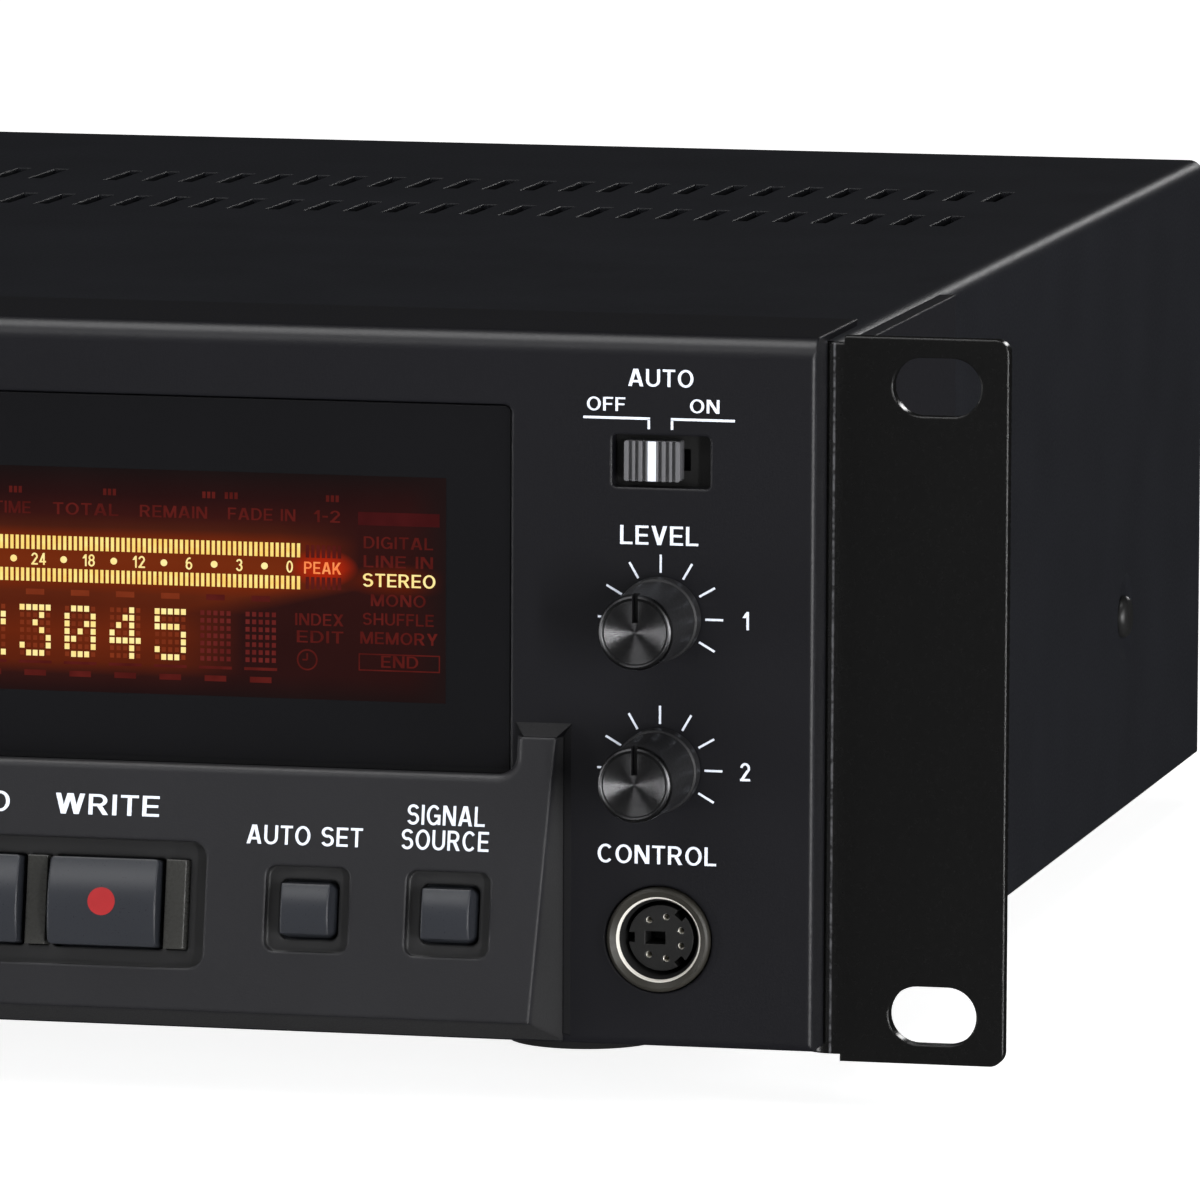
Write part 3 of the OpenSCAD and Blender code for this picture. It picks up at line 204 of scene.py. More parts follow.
# One finish for each of the record's material slots: colour, roughness and the rest
FINISHES = {
    "cover_paint": (lin(28, 29, 33), 0.42, dict(
        spec=0.18, vary=0.1, grain=2600.0, bump=0.25, bump_depth=0.06, edge=0.4,
        speck=(5200.0, 0.7, lin(52, 52, 54)))),
    "ear_paint": (lin(7, 7, 7), 0.25, dict(vary=0.06, grain=2200.0, bump=0.05, edge=0.4)),
    "plated_steel": ((0.42, 0.42, 0.43, 1), 0.36, dict(
        metal=1.0, vary=0.1, vary_scale=140.0, grain=900.0, bump=0.08, edge=0.2)),
    "rear_paint": (lin(30, 30, 33), 0.5, dict(spec=0.3, grain=2600.0, bump=0.2, edge=0.2)),
    "panel_plastic": (lin(11, 11, 16), 0.4, dict(
        spec=0.45, vary=0.07, grain=4200.0, bump=0.22, edge=0.5)),
    "shelf_plastic": (lin(26, 26, 29), 0.42, dict(
        spec=0.45, vary=0.07, grain=4200.0, bump=0.25, edge=0.5)),
    "window_plastic": (lin(15, 15, 17), 0.12, dict(
        spec=0.35, vary=0.05, grain=400.0, bump=0.01, edge=0.3)),
    "key_plastic": (lin(37, 39, 44), 0.31, dict(
        vary=0.05, grain=5000.0, bump=0.08, bump_depth=0.02, edge=0.4)),
    "lens_plastic": (lin(46, 46, 44), 0.28, dict(vary=0.06, grain=2500.0, bump=0.04, edge=0.3)),
    "knob_finish": ((0.05, 0.05, 0.053, 1), 0.34, dict(
        metal=0.75, vary=0.06, grain=2600.0, edge=0.2)),
    "dial_plastic": (lin(40, 40, 44), 0.42, dict(
        spec=0.35, vary=0.06, grain=4200.0, bump=0.15, edge=0.3)),
    "slider_plastic": (lin(92, 92, 95), 0.4, dict(spec=0.4, vary=0.08, edge=0.2)),
    "foot_plastic": (lin(24, 24, 25), 0.6, dict(
        spec=0.25, vary=0.1, grain=2600.0, bump=0.2, edge=0.3)),
    "black_screw": ((0.03, 0.03, 0.03, 1), 0.35, dict(
        metal=0.6, vary=0.15, grain=2500.0, edge=0.2)),
    "bright_shell": ((0.3, 0.28, 0.25, 1), 0.25, dict(
        metal=1.0, vary=0.08, grain=1500.0, bump=0.03, edge=0.2)),
    "insert_plastic": (lin(26, 26, 26), 0.45, dict(spec=0.35, vary=0.1, edge=0.2)),
    "board_green": (lin(30, 82, 52), 0.4, dict(
        spec=0.4, vary=0.25, vary_scale=300.0, grain=1500.0)),
    "display_glass": (lin(30, 34, 34), 0.15, dict(vary=0.1, grain=800.0, bump=0.02)),
    "loader_plastic": (lin(42, 42, 44), 0.5, dict(spec=0.35, vary=0.06, bump=0.2, edge=0.3)),
    "white_plastic": (lin(222, 220, 212), 0.45, dict(
        vary=0.04, grain=2600.0, bump=0.08, edge=0.2)),
    "bright_steel": ((0.58, 0.58, 0.59, 1), 0.26, dict(
        metal=1.0, vary=0.08, grain=1500.0, bump=0.04, edge=0.1)),
    "brass": ((0.71, 0.52, 0.22, 1), 0.3, dict(metal=1.0, vary=0.08, grain=1800.0, bump=0.05)),
    "belt_rubber": (lin(28, 28, 28), 0.7, dict(spec=0.3, vary=0.1, grain=2500.0, bump=0.2)),
}
MATS = {name: finish(name, colour, rough, **rest)
        for name, (colour, rough, rest) in FINISHES.items()}
PRINT = finish("print_white", lin(212, 218, 230), 0.5, spec=0.2, vary=0.04, vary_scale=500.0,
               grain=5000.0, bump=0.05)
RED_PRINT = finish("print_red", lin(146, 28, 31), 0.5, spec=0.3, vary=0.05, vary_scale=500.0,
                   grain=5000.0, bump=0.05)

# The boards' components: dark, and on the power board yellow and grey further to the front
BOARD_TOP, BOARD_FRONT, POWER_X = 18.25, -58.5, 129.9
YELLOW_BACK, GREY_BACK = 94.9, 52.9
n = Nodes(MATS["board_green"])
fitted = n.times(n.past("Z", BOARD_TOP, 0.1), n.past("Y", BOARD_FRONT, 0.5))
n.over(fitted, lin(30, 30, 33))
supply = n.times(fitted, n.past("X", POWER_X, 0.2))
n.over(n.times(supply, n.past("Y", YELLOW_BACK, 0.2, 1.0, 0.0)), lin(150, 112, 48))
n.over(n.times(supply, n.past("Y", GREY_BACK, 0.2, 1.0, 0.0)), lin(128, 130, 132))

# The shelf's recessed faces, which lie behind its slope, painted lighter than the slope: painted
# light that lifts them out of their shade
n = Nodes(MATS["shelf_plastic"])
back = n.times(n.math("ADD", n.along("Y"), (SHELF_LOW - PANEL_Y) * MM), math.cos(TILT))
down = n.times(n.math("SUBTRACT", n.along("Z"), (EAR_Z + SHELF_FOOT) * MM), -math.sin(TILT))
n.over(n.remap(n.math("ADD", back, down), 0.4 * MM, 1.2 * MM), lin(36, 36, 37))

# The ears: the flange behind the face painted lighter than the face, as painted light, and rougher;
# and a speckled painted highlight along the fold
FLANGE_Y, FOLD_X, FOLD_BACK = -131.2, 220.0, -132.4
n = Nodes(MATS["ear_paint"])
flange_painted_light_and_rough = n.past("Y", FLANGE_Y, 1.0)
# painted light: the flange lighter than the face, though both are one paint
n.over(flange_painted_light_and_rough, lin(24, 24, 28))
rough = n.shader.inputs["Roughness"].links[0].from_socket
n.feed("Roughness", n.math("ADD", rough, n.times(flange_painted_light_and_rough, 0.17)))
# painted highlight: a speckled light line on the fold
off_fold = n.math("ABSOLUTE", n.math("SUBTRACT", n.math("ABSOLUTE", n.along("X")), FOLD_X * MM))
speckle = n.remap(n.noise(1500.0), 0.36, 0.6, 0.15, 1.0)
painted_fold_highlight = n.times(n.remap(off_fold, 0.04 * MM, 0.2 * MM, 1.0, 0.0), speckle)
n.over(n.times(painted_fold_highlight, n.past("Y", FOLD_BACK, 0.4, 1.0, 0.0)), lin(92, 92, 95))

# The phono sockets: dark bodies, bright rings outside, and a white and a red middle in each pair
PAIR_HALF, SOCKET_APART, PHONO_Z, CORE_R = 19.0, 7.0, 26.5, 3.2
PHONO = finish("phono_finish", lin(20, 20, 20), 0.4, spec=0.35, vary=0.1, bump=0.05, edge=0.2)
n = Nodes(PHONO)
pair = n.math("WRAP", n.along("X"), PAIR_HALF * MM, -PAIR_HALF * MM)
up = n.math("SUBTRACT", n.along("Z"), PHONO_Z * MM)
across = n.math("SUBTRACT", n.math("ABSOLUTE", pair), SOCKET_APART * MM)
reach = n.math("SQRT", n.math("ADD", n.times(across, across), n.times(up, up)))
core = n.remap(reach, CORE_R * MM, (CORE_R + 0.1) * MM, 1.0, 0.0)
outside = n.past("Y", REAR_Y + 0.1, 0.1)
n.over(outside, (0.6, 0.59, 0.57, 1.0))
middle = n.times(core, outside)
n.over(middle, lin(225, 222, 214))
n.over(n.times(middle, n.remap(pair, -0.1 * MM, 0.1 * MM, 1.0, 0.0)), lin(178, 30, 30))
n.feed("Metallic", n.times(outside, n.math("SUBTRACT", 1.0, core)))

for row in frame["record"]["subparts"]:
    node = frame["nodes"][row["node"]]
    node.data.materials.clear()
    node.data.materials.append(
        PHONO if row["node"] == "phono_sockets" else MATS[row["material_slot"]])


# Pieces, and the frames that they lie on: local x right, y up and z outwards

FACE_FRONT = Matrix.Rotation(math.pi / 2, 4, "X")
FACE_REAR = Matrix.Rotation(math.pi, 4, "Z") @ FACE_FRONT


def piece(name, bm, *materials, body="case"):
    """A named mesh that rides on one of the part's bodies."""
    mesh = bpy.data.meshes.new(name)
    bm.to_mesh(mesh)
    bm.free()
    for material in materials:
        mesh.materials.append(material)
    obj = bpy.data.objects.new(name, mesh)
    bpy.context.scene.collection.objects.link(obj)
    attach(obj, body)
    return obj


def moved(x, y, z):
    """A shift given in millimetres."""
    return Matrix.Translation(Vector((x, y, z)) * MM)


def on_panel(x, z, out=0.0, face=PANEL_Y):
    return moved(x, face - out, EAR_Z + z) @ FACE_FRONT


def on_window(x, z, out=0.0):
    return on_panel(x, z, out, WINDOW_Y)


def on_shelf(x, v):
    turn = Matrix.Rotation(math.pi / 2 - TILT, 4, "X")
    return moved(0, PANEL_Y - SHELF_LOW, EAR_Z + SHELF_FOOT) @ turn @ moved(x, v, 0)


def on_rear(x, z):
    return moved(x, REAR_Y, EAR_Z + z) @ FACE_REAR


def shape(bm, place, points, thick=PRINT_T):
    """A thin plate with the given outline, millimetres, anticlockwise seen from outside."""
    low = [bm.verts.new(place @ (Vector((x, y, 0.0)) * MM)) for x, y in points]
    top = [bm.verts.new(place @ (Vector((x, y, thick)) * MM)) for x, y in points]
    bm.faces.new(list(reversed(low)))
    bm.faces.new(top)
    count = len(points)
    for k in range(count):
        j = (k + 1) % count
        bm.faces.new([low[k], low[j], top[j], top[k]])


def bar(x0, x1, y0, y1):
    return [(x0, y0), (x1, y0), (x1, y1), (x0, y1)]


def slab(bm, place, x0, x1, y0, y1, thick=PRINT_T):
    shape(bm, place, bar(x0, x1, y0, y1), thick)


def circle(r, steps):
    turns = [2 * math.pi * k / steps for k in range(steps)]
    return [(r * math.cos(a), r * math.sin(a)) for a in turns]


def stroke(bm, place, x0, y0, x1, y1, width):
    """A printed line between two points."""
    d = Vector((x1 - x0, y1 - y0))
    side = Vector((-d.y, d.x)).normalized() * width / 2
    a, b = Vector((x0, y0)), Vector((x1, y1))
    shape(bm, place, [tuple(a - side), tuple(b - side), tuple(b + side), tuple(a + side)])


def close_rings(bm, rings):
    """Closes a row of four-cornered rings into a solid."""
    bm.faces.new(rings[0])
    bm.faces.new(list(reversed(rings[-1])))
    for low, high in zip(rings, rings[1:]):
        for k in range(4):
            j = (k + 1) % 4
            bm.faces.new([low[j], low[k], high[k], high[j]])


# Lettering: plain bold capitals and numbers drawn from bars, slants and arcs. Heights run 0 to 1.

STEM, BAR = 0.15, 0.13
LETTER_GAP, LETTER_WIDTH = 0.14, 0.9
LAYER = 0.0012  # each plate of a letter lies this much higher, so that no two faces coincide


def slant(x0, y0, x1, y1, wide=0.18):
    """A leaning stroke with level ends."""
    if y0 > y1:
        x0, y0, x1, y1 = x1, y1, x0, y0
    h = wide / 2
    return [(x0 - h, y0), (x0 + h, y0), (x1 + h, y1), (x1 - h, y1)]


def arc(cx, cy, rx, ry, start, end, steps=14):
    """Part of a round stroke, given by its outer radii, as a row of four-cornered plates."""
    plates = []
    for k in range(steps):
        a = math.radians(start + (end - start) * k / steps)
        b = math.radians(start + (end - start) * (k + 1) / steps)
        inner = (rx - STEM, ry - BAR)
        plates.append([(cx + inner[0] * math.cos(a), cy + inner[1] * math.sin(a)),
                       (cx + rx * math.cos(a), cy + ry * math.sin(a)),
                       (cx + rx * math.cos(b), cy + ry * math.sin(b)),
                       (cx + inner[0] * math.cos(b), cy + inner[1] * math.sin(b))])
    return plates


def stem(x, y0=0.0, y1=1.0):
    return bar(x, x + STEM, y0, y1)


def level(x0, x1, y):
    return bar(x0, x1, y, y + BAR)


TOP, MID = 1 - BAR, 0.43
BOWL = [stem(0), level(0, 0.36, TOP), level(0, 0.36, 0.41)] + arc(0.355, 0.7, 0.305, 0.3, -90, 90)
LETTERS = {
    "A": (0.78, [slant(0.09, 0, 0.36, 1), slant(0.69, 0, 0.42, 1), level(0.2, 0.58, 0.22)]),
    "C": (0.74, arc(0.385, 0.5, 0.385, 0.51, 42, 318, 22)),
    "D": (0.72, [stem(0), level(0, 0.35, TOP), level(0, 0.35, 0)]
          + arc(0.34, 0.5, 0.38, 0.5, -90, 90)),
    "E": (0.6, [stem(0), level(0, 0.6, TOP), level(0, 0.56, MID), level(0, 0.6, 0)]),
    "F": (0.57, [stem(0), level(0, 0.57, TOP), level(0, 0.52, MID)]),
    "G": (0.77, arc(0.385, 0.5, 0.385, 0.51, 42, 322, 22)
          + [level(0.42, 0.77, 0.4), bar(0.62, 0.77, 0.02, 0.5)]),
    "H": (0.72, [stem(0), stem(0.72 - STEM), level(0, 0.72, MID)]),
    "I": (STEM, [stem(0)]),
    "K": (0.74, [stem(0), slant(0.17, 0.34, 0.61, 1, 0.22), slant(0.3, 0.62, 0.64, 0, 0.2)]),
    "L": (0.57, [stem(0), level(0, 0.57, 0)]),
    "M": (0.86, [stem(0), stem(0.86 - STEM), slant(0.1, 1, 0.43, 0), slant(0.76, 1, 0.43, 0)]),
    "N": (0.72, [stem(0), stem(0.72 - STEM), slant(0.1, 1, 0.62, 0, 0.2)]),
    "O": (0.8, arc(0.4, 0.5, 0.4, 0.51, 0, 360, 32)),
    "P": (0.66, BOWL),
    "R": (0.71, BOWL + [slant(0.37, 0.47, 0.61, 0, 0.19)]),
    "S": (0.67, arc(0.335, 0.73, 0.32, 0.28, 22, 270, 20)
          + arc(0.335, 0.295, 0.335, 0.305, -158, 90, 20)),
    "T": (0.64, [bar(0.32 - STEM / 2, 0.32 + STEM / 2, 0, 1), level(0, 0.64, TOP)]),
    "U": (0.72, [stem(0, 0.34), stem(0.72 - STEM, 0.34)] + arc(0.36, 0.35, 0.36, 0.36, 180, 360)),
    "V": (0.72, [slant(0.09, 1, 0.36, 0), slant(0.63, 1, 0.36, 0)]),
    "W": (1.04, [slant(0.09, 1, 0.29, 0), slant(0.5, 1, 0.29, 0),
                 slant(0.54, 1, 0.75, 0), slant(0.95, 1, 0.75, 0)]),
    "X": (0.73, [slant(0.1, 0, 0.63, 1, 0.2), slant(0.63, 0, 0.1, 1, 0.2)]),
    "Y": (0.73, [slant(0.1, 1, 0.365, 0.38, 0.2), slant(0.63, 1, 0.365, 0.38, 0.2),
                 stem(0.365 - STEM / 2, 0, 0.46)]),
    "0": (0.62, arc(0.31, 0.5, 0.31, 0.505, 0, 360, 28)),
    "1": (0.42, [stem(0.24), slant(0.09, 0.66, 0.3, 0.96, 0.2)]),
    "2": (0.62, arc(0.31, 0.7, 0.305, 0.305, -28, 172)
          + [slant(0.1, 0.06, 0.49, 0.6, 0.2), level(0, 0.62, 0)]),
    "3": (0.62, arc(0.3, 0.73, 0.29, 0.28, -90, 165) + arc(0.305, 0.295, 0.315, 0.305, -168, 90)),
    "4": (0.64, [stem(0.37), level(0, 0.64, 0.2), slant(0.09, 0.26, 0.44, 1, 0.18)]),
    "5": (0.62, [level(0.1, 0.58, TOP), bar(0.06, 0.2, 0.46, 1)]
          + arc(0.3, 0.325, 0.32, 0.335, -165, 125, 18)),
    "6": (0.62, arc(0.31, 0.32, 0.31, 0.33, 0, 360, 24) + arc(0.36, 0.5, 0.36, 0.51, 70, 180)),
    "7": (0.6, [level(0, 0.6, TOP), slant(0.2, 0, 0.5, 0.95, 0.18)]),
    "8": (0.62, arc(0.31, 0.735, 0.285, 0.275, 0, 360, 24)
          + arc(0.31, 0.295, 0.31, 0.305, 0, 360, 24)),
    "-": (0.34, [bar(0, 0.34, 0.4, 0.55)]),
    " ": (0.3, []),
}


def words(bm, place, text, height, width=None):
    """Printed words about their middle, set to a cap height and, where given, a width."""
    full = sum(LETTERS[c][0] for c in text) + LETTER_GAP * (len(text) - 1)
    sx = width / full if width else height * LETTER_WIDTH
    x = -full / 2
    for c in text:
        wide, plates = LETTERS[c]
        for k, plate in enumerate(plates):
            points = [((x + px) * sx, py * height) for px, py in plate]
            shape(bm, place, points, PRINT_T + LAYER * k)
        x += wide + LETTER_GAP


# Turned shapes

SOFT_EDGE = math.radians(35)  # edges that turn by more than this stay sharp


def lathe(profile, steps, loop=False):
    """A shape turned about z from (radius, height) points, millimetres; a loop gives a tube."""
    bm = bmesh.new()
    rows = []
    for r, out in profile:
        points = [(0.0, 0.0)] if r == 0.0 else circle(r, steps)
        rows.append([bm.verts.new((x * MM, y * MM, out * MM)) for x, y in points])
    for low, high in zip(rows, rows[1:] + (rows[:1] if loop else [])):
        for k in range(steps):
            j = (k + 1) % steps
            if len(low) == 1:
                bm.faces.new([low[0], high[j], high[k]])
            elif len(high) == 1:
                bm.faces.new([low[k], low[j], high[0]])
            else:
                bm.faces.new([low[k], low[j], high[j], high[k]])
    return bm


def middle_of(f):
    """Height and distance from the axis of a turned shape's face, millimetres."""
    c = f.calc_center_median() / MM
    return c.z, math.hypot(c.x, c.y)


def cut_from(solid_bm, cutter_bm):
    """The mesh left when the second shape is cut from the first."""
    objects = []
    for name, bm in (("solid", solid_bm), ("cutter", cutter_bm)):
        mesh = bpy.data.meshes.new(name)
        bm.to_mesh(mesh)
        bm.free()
        objects.append(bpy.data.objects.new(name, mesh))
        bpy.context.scene.collection.objects.link(objects[-1])
    cut = objects[0].modifiers.new("cut", "BOOLEAN")
    cut.operation = "DIFFERENCE"
    cut.solver = "EXACT"
    cut.object = objects[1]
    bpy.context.view_layer.update()
    evaluated = objects[0].evaluated_get(bpy.context.evaluated_depsgraph_get())
    result = bpy.data.meshes.new_from_object(evaluated)
    for o in objects:
        old = o.data
        bpy.data.objects.remove(o)
        bpy.data.meshes.remove(old)
    return result


# Knobs: a smooth side, a bright rim and a spun cap with a pointer groove

KNOB_R, KNOB_LEN, KNOB_FOOT = 5.1, 14.5, 0.5
RIM_LOW, RIM_IN, CAP_LOW = KNOB_LEN - 0.76, KNOB_R - 1.32, KNOB_LEN - 0.2
GROOVE_HALF, GROOVE_IN, GROOVE_DEEP = 0.37, 1.15, 1.6
FLAT_R = 4.3  # the groove's flat walls lie within this radius
UV_SPAN = 20.0  # millimetres across the cap's texture square
RING_PHASE, RING_LEAN = 2000.0, 0.42  # the spun rings: how many and how steep


def knob_cap_finish():
    """Spun metal: fine rings lean the surface outwards and inwards in turn."""
    n = Nodes("knob_cap")
    uv = n.add("ShaderNodeTexCoord").outputs["UV"]
    from_middle = n.vector("SUBTRACT", uv, (0.5, 0.5, 0.0))
    parts = n.add("ShaderNodeSeparateXYZ")
    n.put(n.vector("NORMALIZE", from_middle), parts.inputs["Vector"])
    outward = n.add("ShaderNodeCombineXYZ")
    n.put(parts.outputs["X"], outward.inputs["X"])
    n.put(parts.outputs["Y"], outward.inputs["Z"])
    turned = n.add("ShaderNodeVectorTransform", vector_type="VECTOR", convert_from="OBJECT",
                   convert_to="WORLD")
    n.put(outward.outputs["Vector"], turned.inputs["Vector"])
    rings = n.math("SINE", n.times(n.vector("LENGTH", from_middle), RING_PHASE))
    push = n.vector("SCALE", turned.outputs["Vector"])
    n.put(n.times(rings, RING_LEAN), push.node.inputs["Scale"])
    normal = n.add("ShaderNodeNewGeometry").outputs["Normal"]
    n.feed("Normal", n.vector("NORMALIZE", n.vector("ADD", normal, push)))
    tone = n.remap(n.noise(700.0), NOISE_LOW, NOISE_HIGH)
    n.feed("Base Color", n.mix(tone, (0.075, 0.075, 0.078, 1), (0.095, 0.095, 0.098, 1)))
    n.feed("Metallic", 1.0)
    n.feed("Roughness", n.remap(n.noise(2600.0), GRAIN_LOW, GRAIN_HIGH, 0.2, 0.26))
    return n.mat


KNOB_SIDE = finish("knob_side", lin(25, 25, 27), 0.5, spec=0.35, vary=0.06, grain=2600.0, bump=0.05)
KNOB_RIM = finish("knob_rim", (0.05, 0.05, 0.052, 1), 0.3, metal=1.0, vary=0.06, grain=2600.0,
                  bump=0.04)
KNOB_CAP = knob_cap_finish()


def knob(node, x, height):
    """Turned from a profile, with a groove cut from the rim towards the middle."""
    profile = [(0.0, KNOB_FOOT), (KNOB_R, KNOB_FOOT), (KNOB_R, 2.1), (KNOB_R - 0.1, 2.4),
               (KNOB_R - 0.35, 2.55), (KNOB_R - 0.5, KNOB_LEN - 0.75),
               (KNOB_R - 0.55, KNOB_LEN - 0.45), (KNOB_R - 0.72, KNOB_LEN - 0.12),
               (KNOB_R - 0.95, KNOB_LEN - 0.02), (KNOB_R - 1.05, KNOB_LEN - 0.1),
               (KNOB_R - 1.3, KNOB_LEN - 0.14), (0.0, KNOB_LEN - 0.14)]
    groove = bmesh.new()
    slab(groove, moved(0, 0, KNOB_LEN - GROOVE_DEEP), -GROOVE_HALF, GROOVE_HALF,
         GROOVE_IN, KNOB_R + 1.0, 3.0)
    mesh = cut_from(lathe(profile, 96), groove)
    bm = bmesh.new()
    bm.from_mesh(mesh)
    bpy.data.meshes.remove(mesh)
    uv = bm.loops.layers.uv.new("UVMap")
    for f in bm.faces:
        z, radius = middle_of(f)
        f.material_index = 0
        if z > RIM_LOW and abs(f.normal.z) > 0.05 and radius > RIM_IN:
            f.material_index = 1
        if z > CAP_LOW and f.normal.z > 0.99:
            f.material_index = 2
        f.smooth = abs(f.normal.x) < 0.999 or radius > FLAT_R
        for loop in f.loops:
            at = loop.vert.co
            loop[uv].uv = (at.x / MM / UV_SPAN + 0.5, at.y / MM / UV_SPAN + 0.5)
    bm.transform(on_panel(x, height))
    bm.normal_update()
    obj = piece(node + "_turned", bm, KNOB_SIDE, KNOB_RIM, KNOB_CAP, body=node)
    obj.data.set_sharp_from_angle(angle=SOFT_EDGE)
    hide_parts(node)


knob("level_knob_1", COLUMN_X, LEVEL_Z["1"])
knob("level_knob_2", COLUMN_X, LEVEL_Z["2"])
knob("phones_knob", -COLUMN_X, PHONES_Z)


# Round socket: a dished ring painted dark as a painted dark reflection, a throat painted near white
# as a painted highlight, and the contacts in the insert

THROAT_R, THROAT_LOW = 5.2, -0.2
CONTACT_R, CONTACT_ANGLES = 2.6, (21, 77, 126, -21, -77, -126)
# Painted light on one metal shell: the ring darkened for its dark reflection, the throat near white
# for its highlight
RING = finish("socket_ring", lin(44, 42, 37), 0.45, metal=0.2, vary=0.08, grain=1500.0, bump=0.03)
THROAT = finish("socket_throat", (0.92, 0.89, 0.82, 1), 0.35, metal=0.3, vary=0.05, grain=1500.0,
                bump=0.02)
shell = lathe([(6.35, -18.5), (6.35, 0.4), (6.28, 0.65), (6.1, 0.82), (5.9, 0.88), (5.3, 0.5),
               (5.2, 0.4), (5.05, 0.15), (4.92, -0.15), (4.62, -0.8), (4.5, -1.3), (4.5, -10.0),
               (4.5, -18.5)], 96, True)
for f in shell.faces:
    z, radius = middle_of(f)
    f.smooth = True
    if radius < THROAT_R:
        f.material_index = 1 if z > THROAT_LOW else 2
shell.transform(on_panel(COLUMN_X, SOCKET_Z))
shell_obj = piece("socket_shell_turned", shell, RING, THROAT, MATS["insert_plastic"])
shell_obj.data.set_sharp_from_angle(angle=SOFT_EDGE)
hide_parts("socket_shell")
contacts = bmesh.new()
for a in map(math.radians, CONTACT_ANGLES):
    tube = lathe([(0.43, -5.5), (0.43, -1.75), (0.41, -1.7), (0.37, -1.72), (0.36, -1.8),
                  (0.36, -5.5)], 16, True)
    tube.transform(on_panel(COLUMN_X + CONTACT_R * math.cos(a), SOCKET_Z + CONTACT_R * math.sin(a)))
    mesh = bpy.data.meshes.new("contact")
    tube.to_mesh(mesh)
    tube.free()
    contacts.from_mesh(mesh)
    bpy.data.meshes.remove(mesh)
piece("socket_contacts", contacts, THROAT)


# Where the shelf's ends meet the panel: a low skirt at the side, a slope over the horn's top

SHELF_HALF, FLARE = 188.5, 0.316  # half width at the panel, and how fast it narrows outwards
HORN_INNER, HORN_Z, HORN_OUT = 183.0, 39.4, 1.95
SKIRT_H, SKIRT_W, SLOPE_RISE = 0.14, 1.0, 1.6
SUNK, SKIRT_BACK = -0.02, 0.4  # the thin edges and the backs lie inside the panel
SKIRT = finish("skirt_plastic", lin(8, 8, 11), 0.55, spec=0.22, vary=0.07, grain=4200.0, bump=0.22,
               edge=0.25)
low = SHELF_HALF - FLARE * SKIRT_H
RIM = [(HORN_INNER + 0.9, HORN_OUT, HORN_Z), (SHELF_HALF - FLARE * HORN_OUT, HORN_OUT, HORN_Z),
       (low, SKIRT_H, HORN_Z), (low, SKIRT_H, 3.2), (SHELF_HALF + SKIRT_W, SUNK, 2.9),
       (SHELF_HALF + SKIRT_W, SUNK, HORN_Z + SLOPE_RISE),
       (HORN_INNER - 0.6, SUNK, HORN_Z + SLOPE_RISE)]
for side, hand in ((1, "right"), (-1, "left")):
    bm = bmesh.new()
    front = [bm.verts.new(Vector((side * x, PANEL_Y - out, EAR_Z + z)) * MM) for x, out, z in RIM]
    back = [bm.verts.new(Vector((side * x, PANEL_Y + SKIRT_BACK, EAR_Z + z)) * MM)
            for x, out, z in RIM]
    for ids in ((0, 1, 5, 6), (1, 2, 5), (2, 3, 4, 5)):
        bm.faces.new([front[k] for k in ids])
        bm.faces.new([back[k] for k in reversed(ids)])
    for k in range(len(RIM)):
        j = (k + 1) % len(RIM)
        bm.faces.new((front[j], front[k], back[k], back[j]))
    bmesh.ops.recalc_face_normals(bm, faces=bm.faces)
    piece("shelf_skirt_" + hand, bm, SKIRT)


# Nut of the phones jack, with a metal mouth

MOUTH_R = 4.05
JACK_MOUTH = finish("jack_mouth", (0.3, 0.29, 0.275, 1), 0.35, metal=0.9, vary=0.06, grain=1500.0,
                    bump=0.02)
nut = lathe([(6.4, 1.3), (6.4, 1.5), (6.15, 1.75), (4.1, 1.75), (3.95, 1.7), (3.3, 1.41),
             (3.3, 1.3)], 96, True)
for f in nut.faces:
    f.smooth = True
    f.material_index = 1 if middle_of(f)[1] < MOUTH_R else 0
nut.transform(on_panel(-COLUMN_X, SOCKET_Z))
nut_obj = piece("phones_nut", nut, RING, JACK_MOUTH)
nut_obj.data.set_sharp_from_angle(angle=SOFT_EDGE)


# Screw heads with a cross recess

EAR_SIDE, COVER_SIDE = 218.5, 216.0  # faces that the heads lie on, from the middle
EAR_SCREWS = ((-108.0, 20.5), (-88.0, 36.5), (-68.0, 20.5))  # depth and height
SIDE_SCREW = (85.7, 33.8)
REAR_SCREWS, REAR_SCREW_Z = (-196.0, -66.0, 138.0, 204.0), 15.5


def screw_head(r, h, shank_r, shank_len):
    """A domed head on its shank, standing on z = 0, with the cross cut out."""
    profile = [(0.0, -shank_len), (shank_r * 0.7, -shank_len), (shank_r, 0.6 - shank_len),
               (shank_r, 0.0), (r, 0.0), (r, 0.2 * h), (0.95 * r, 0.55 * h),
               (0.82 * r, 0.82 * h), (0.6 * r, 0.96 * h), (0.0, h)]
    turned = lathe(profile, 40)
    cross = bmesh.new()
    for a, b in ((0.75 * r, 0.13 * r), (0.13 * r, 0.75 * r)):
        slab(cross, moved(0, 0, 0.42 * h), -a, a, -b, b, h)
    return cut_from(turned, cross)


def screws(name, node, head, places):
    bm = bmesh.new()
    for place in places:
        copy = head.copy()
        copy.transform(place)
        bm.from_mesh(copy)
        bpy.data.meshes.remove(copy)
    bpy.data.meshes.remove(head)
    obj = piece(name, bm, MATS["black_screw"])
    for f in obj.data.polygons:
        f.use_smooth = True
    obj.data.set_sharp_from_angle(angle=math.radians(40))
    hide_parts(node)


def facing_side(s, x, y, z, spin):
    turn = Matrix.Rotation(s * math.pi / 2, 4, "Y") @ Matrix.Rotation(math.radians(spin), 4, "Z")
    return moved(s * x, y, z) @ turn


def facing_rear(x, y, z, spin):
    turn = Matrix.Rotation(-math.pi / 2, 4, "X") @ Matrix.Rotation(math.radians(spin), 4, "Z")
    return moved(x, y, z) @ turn


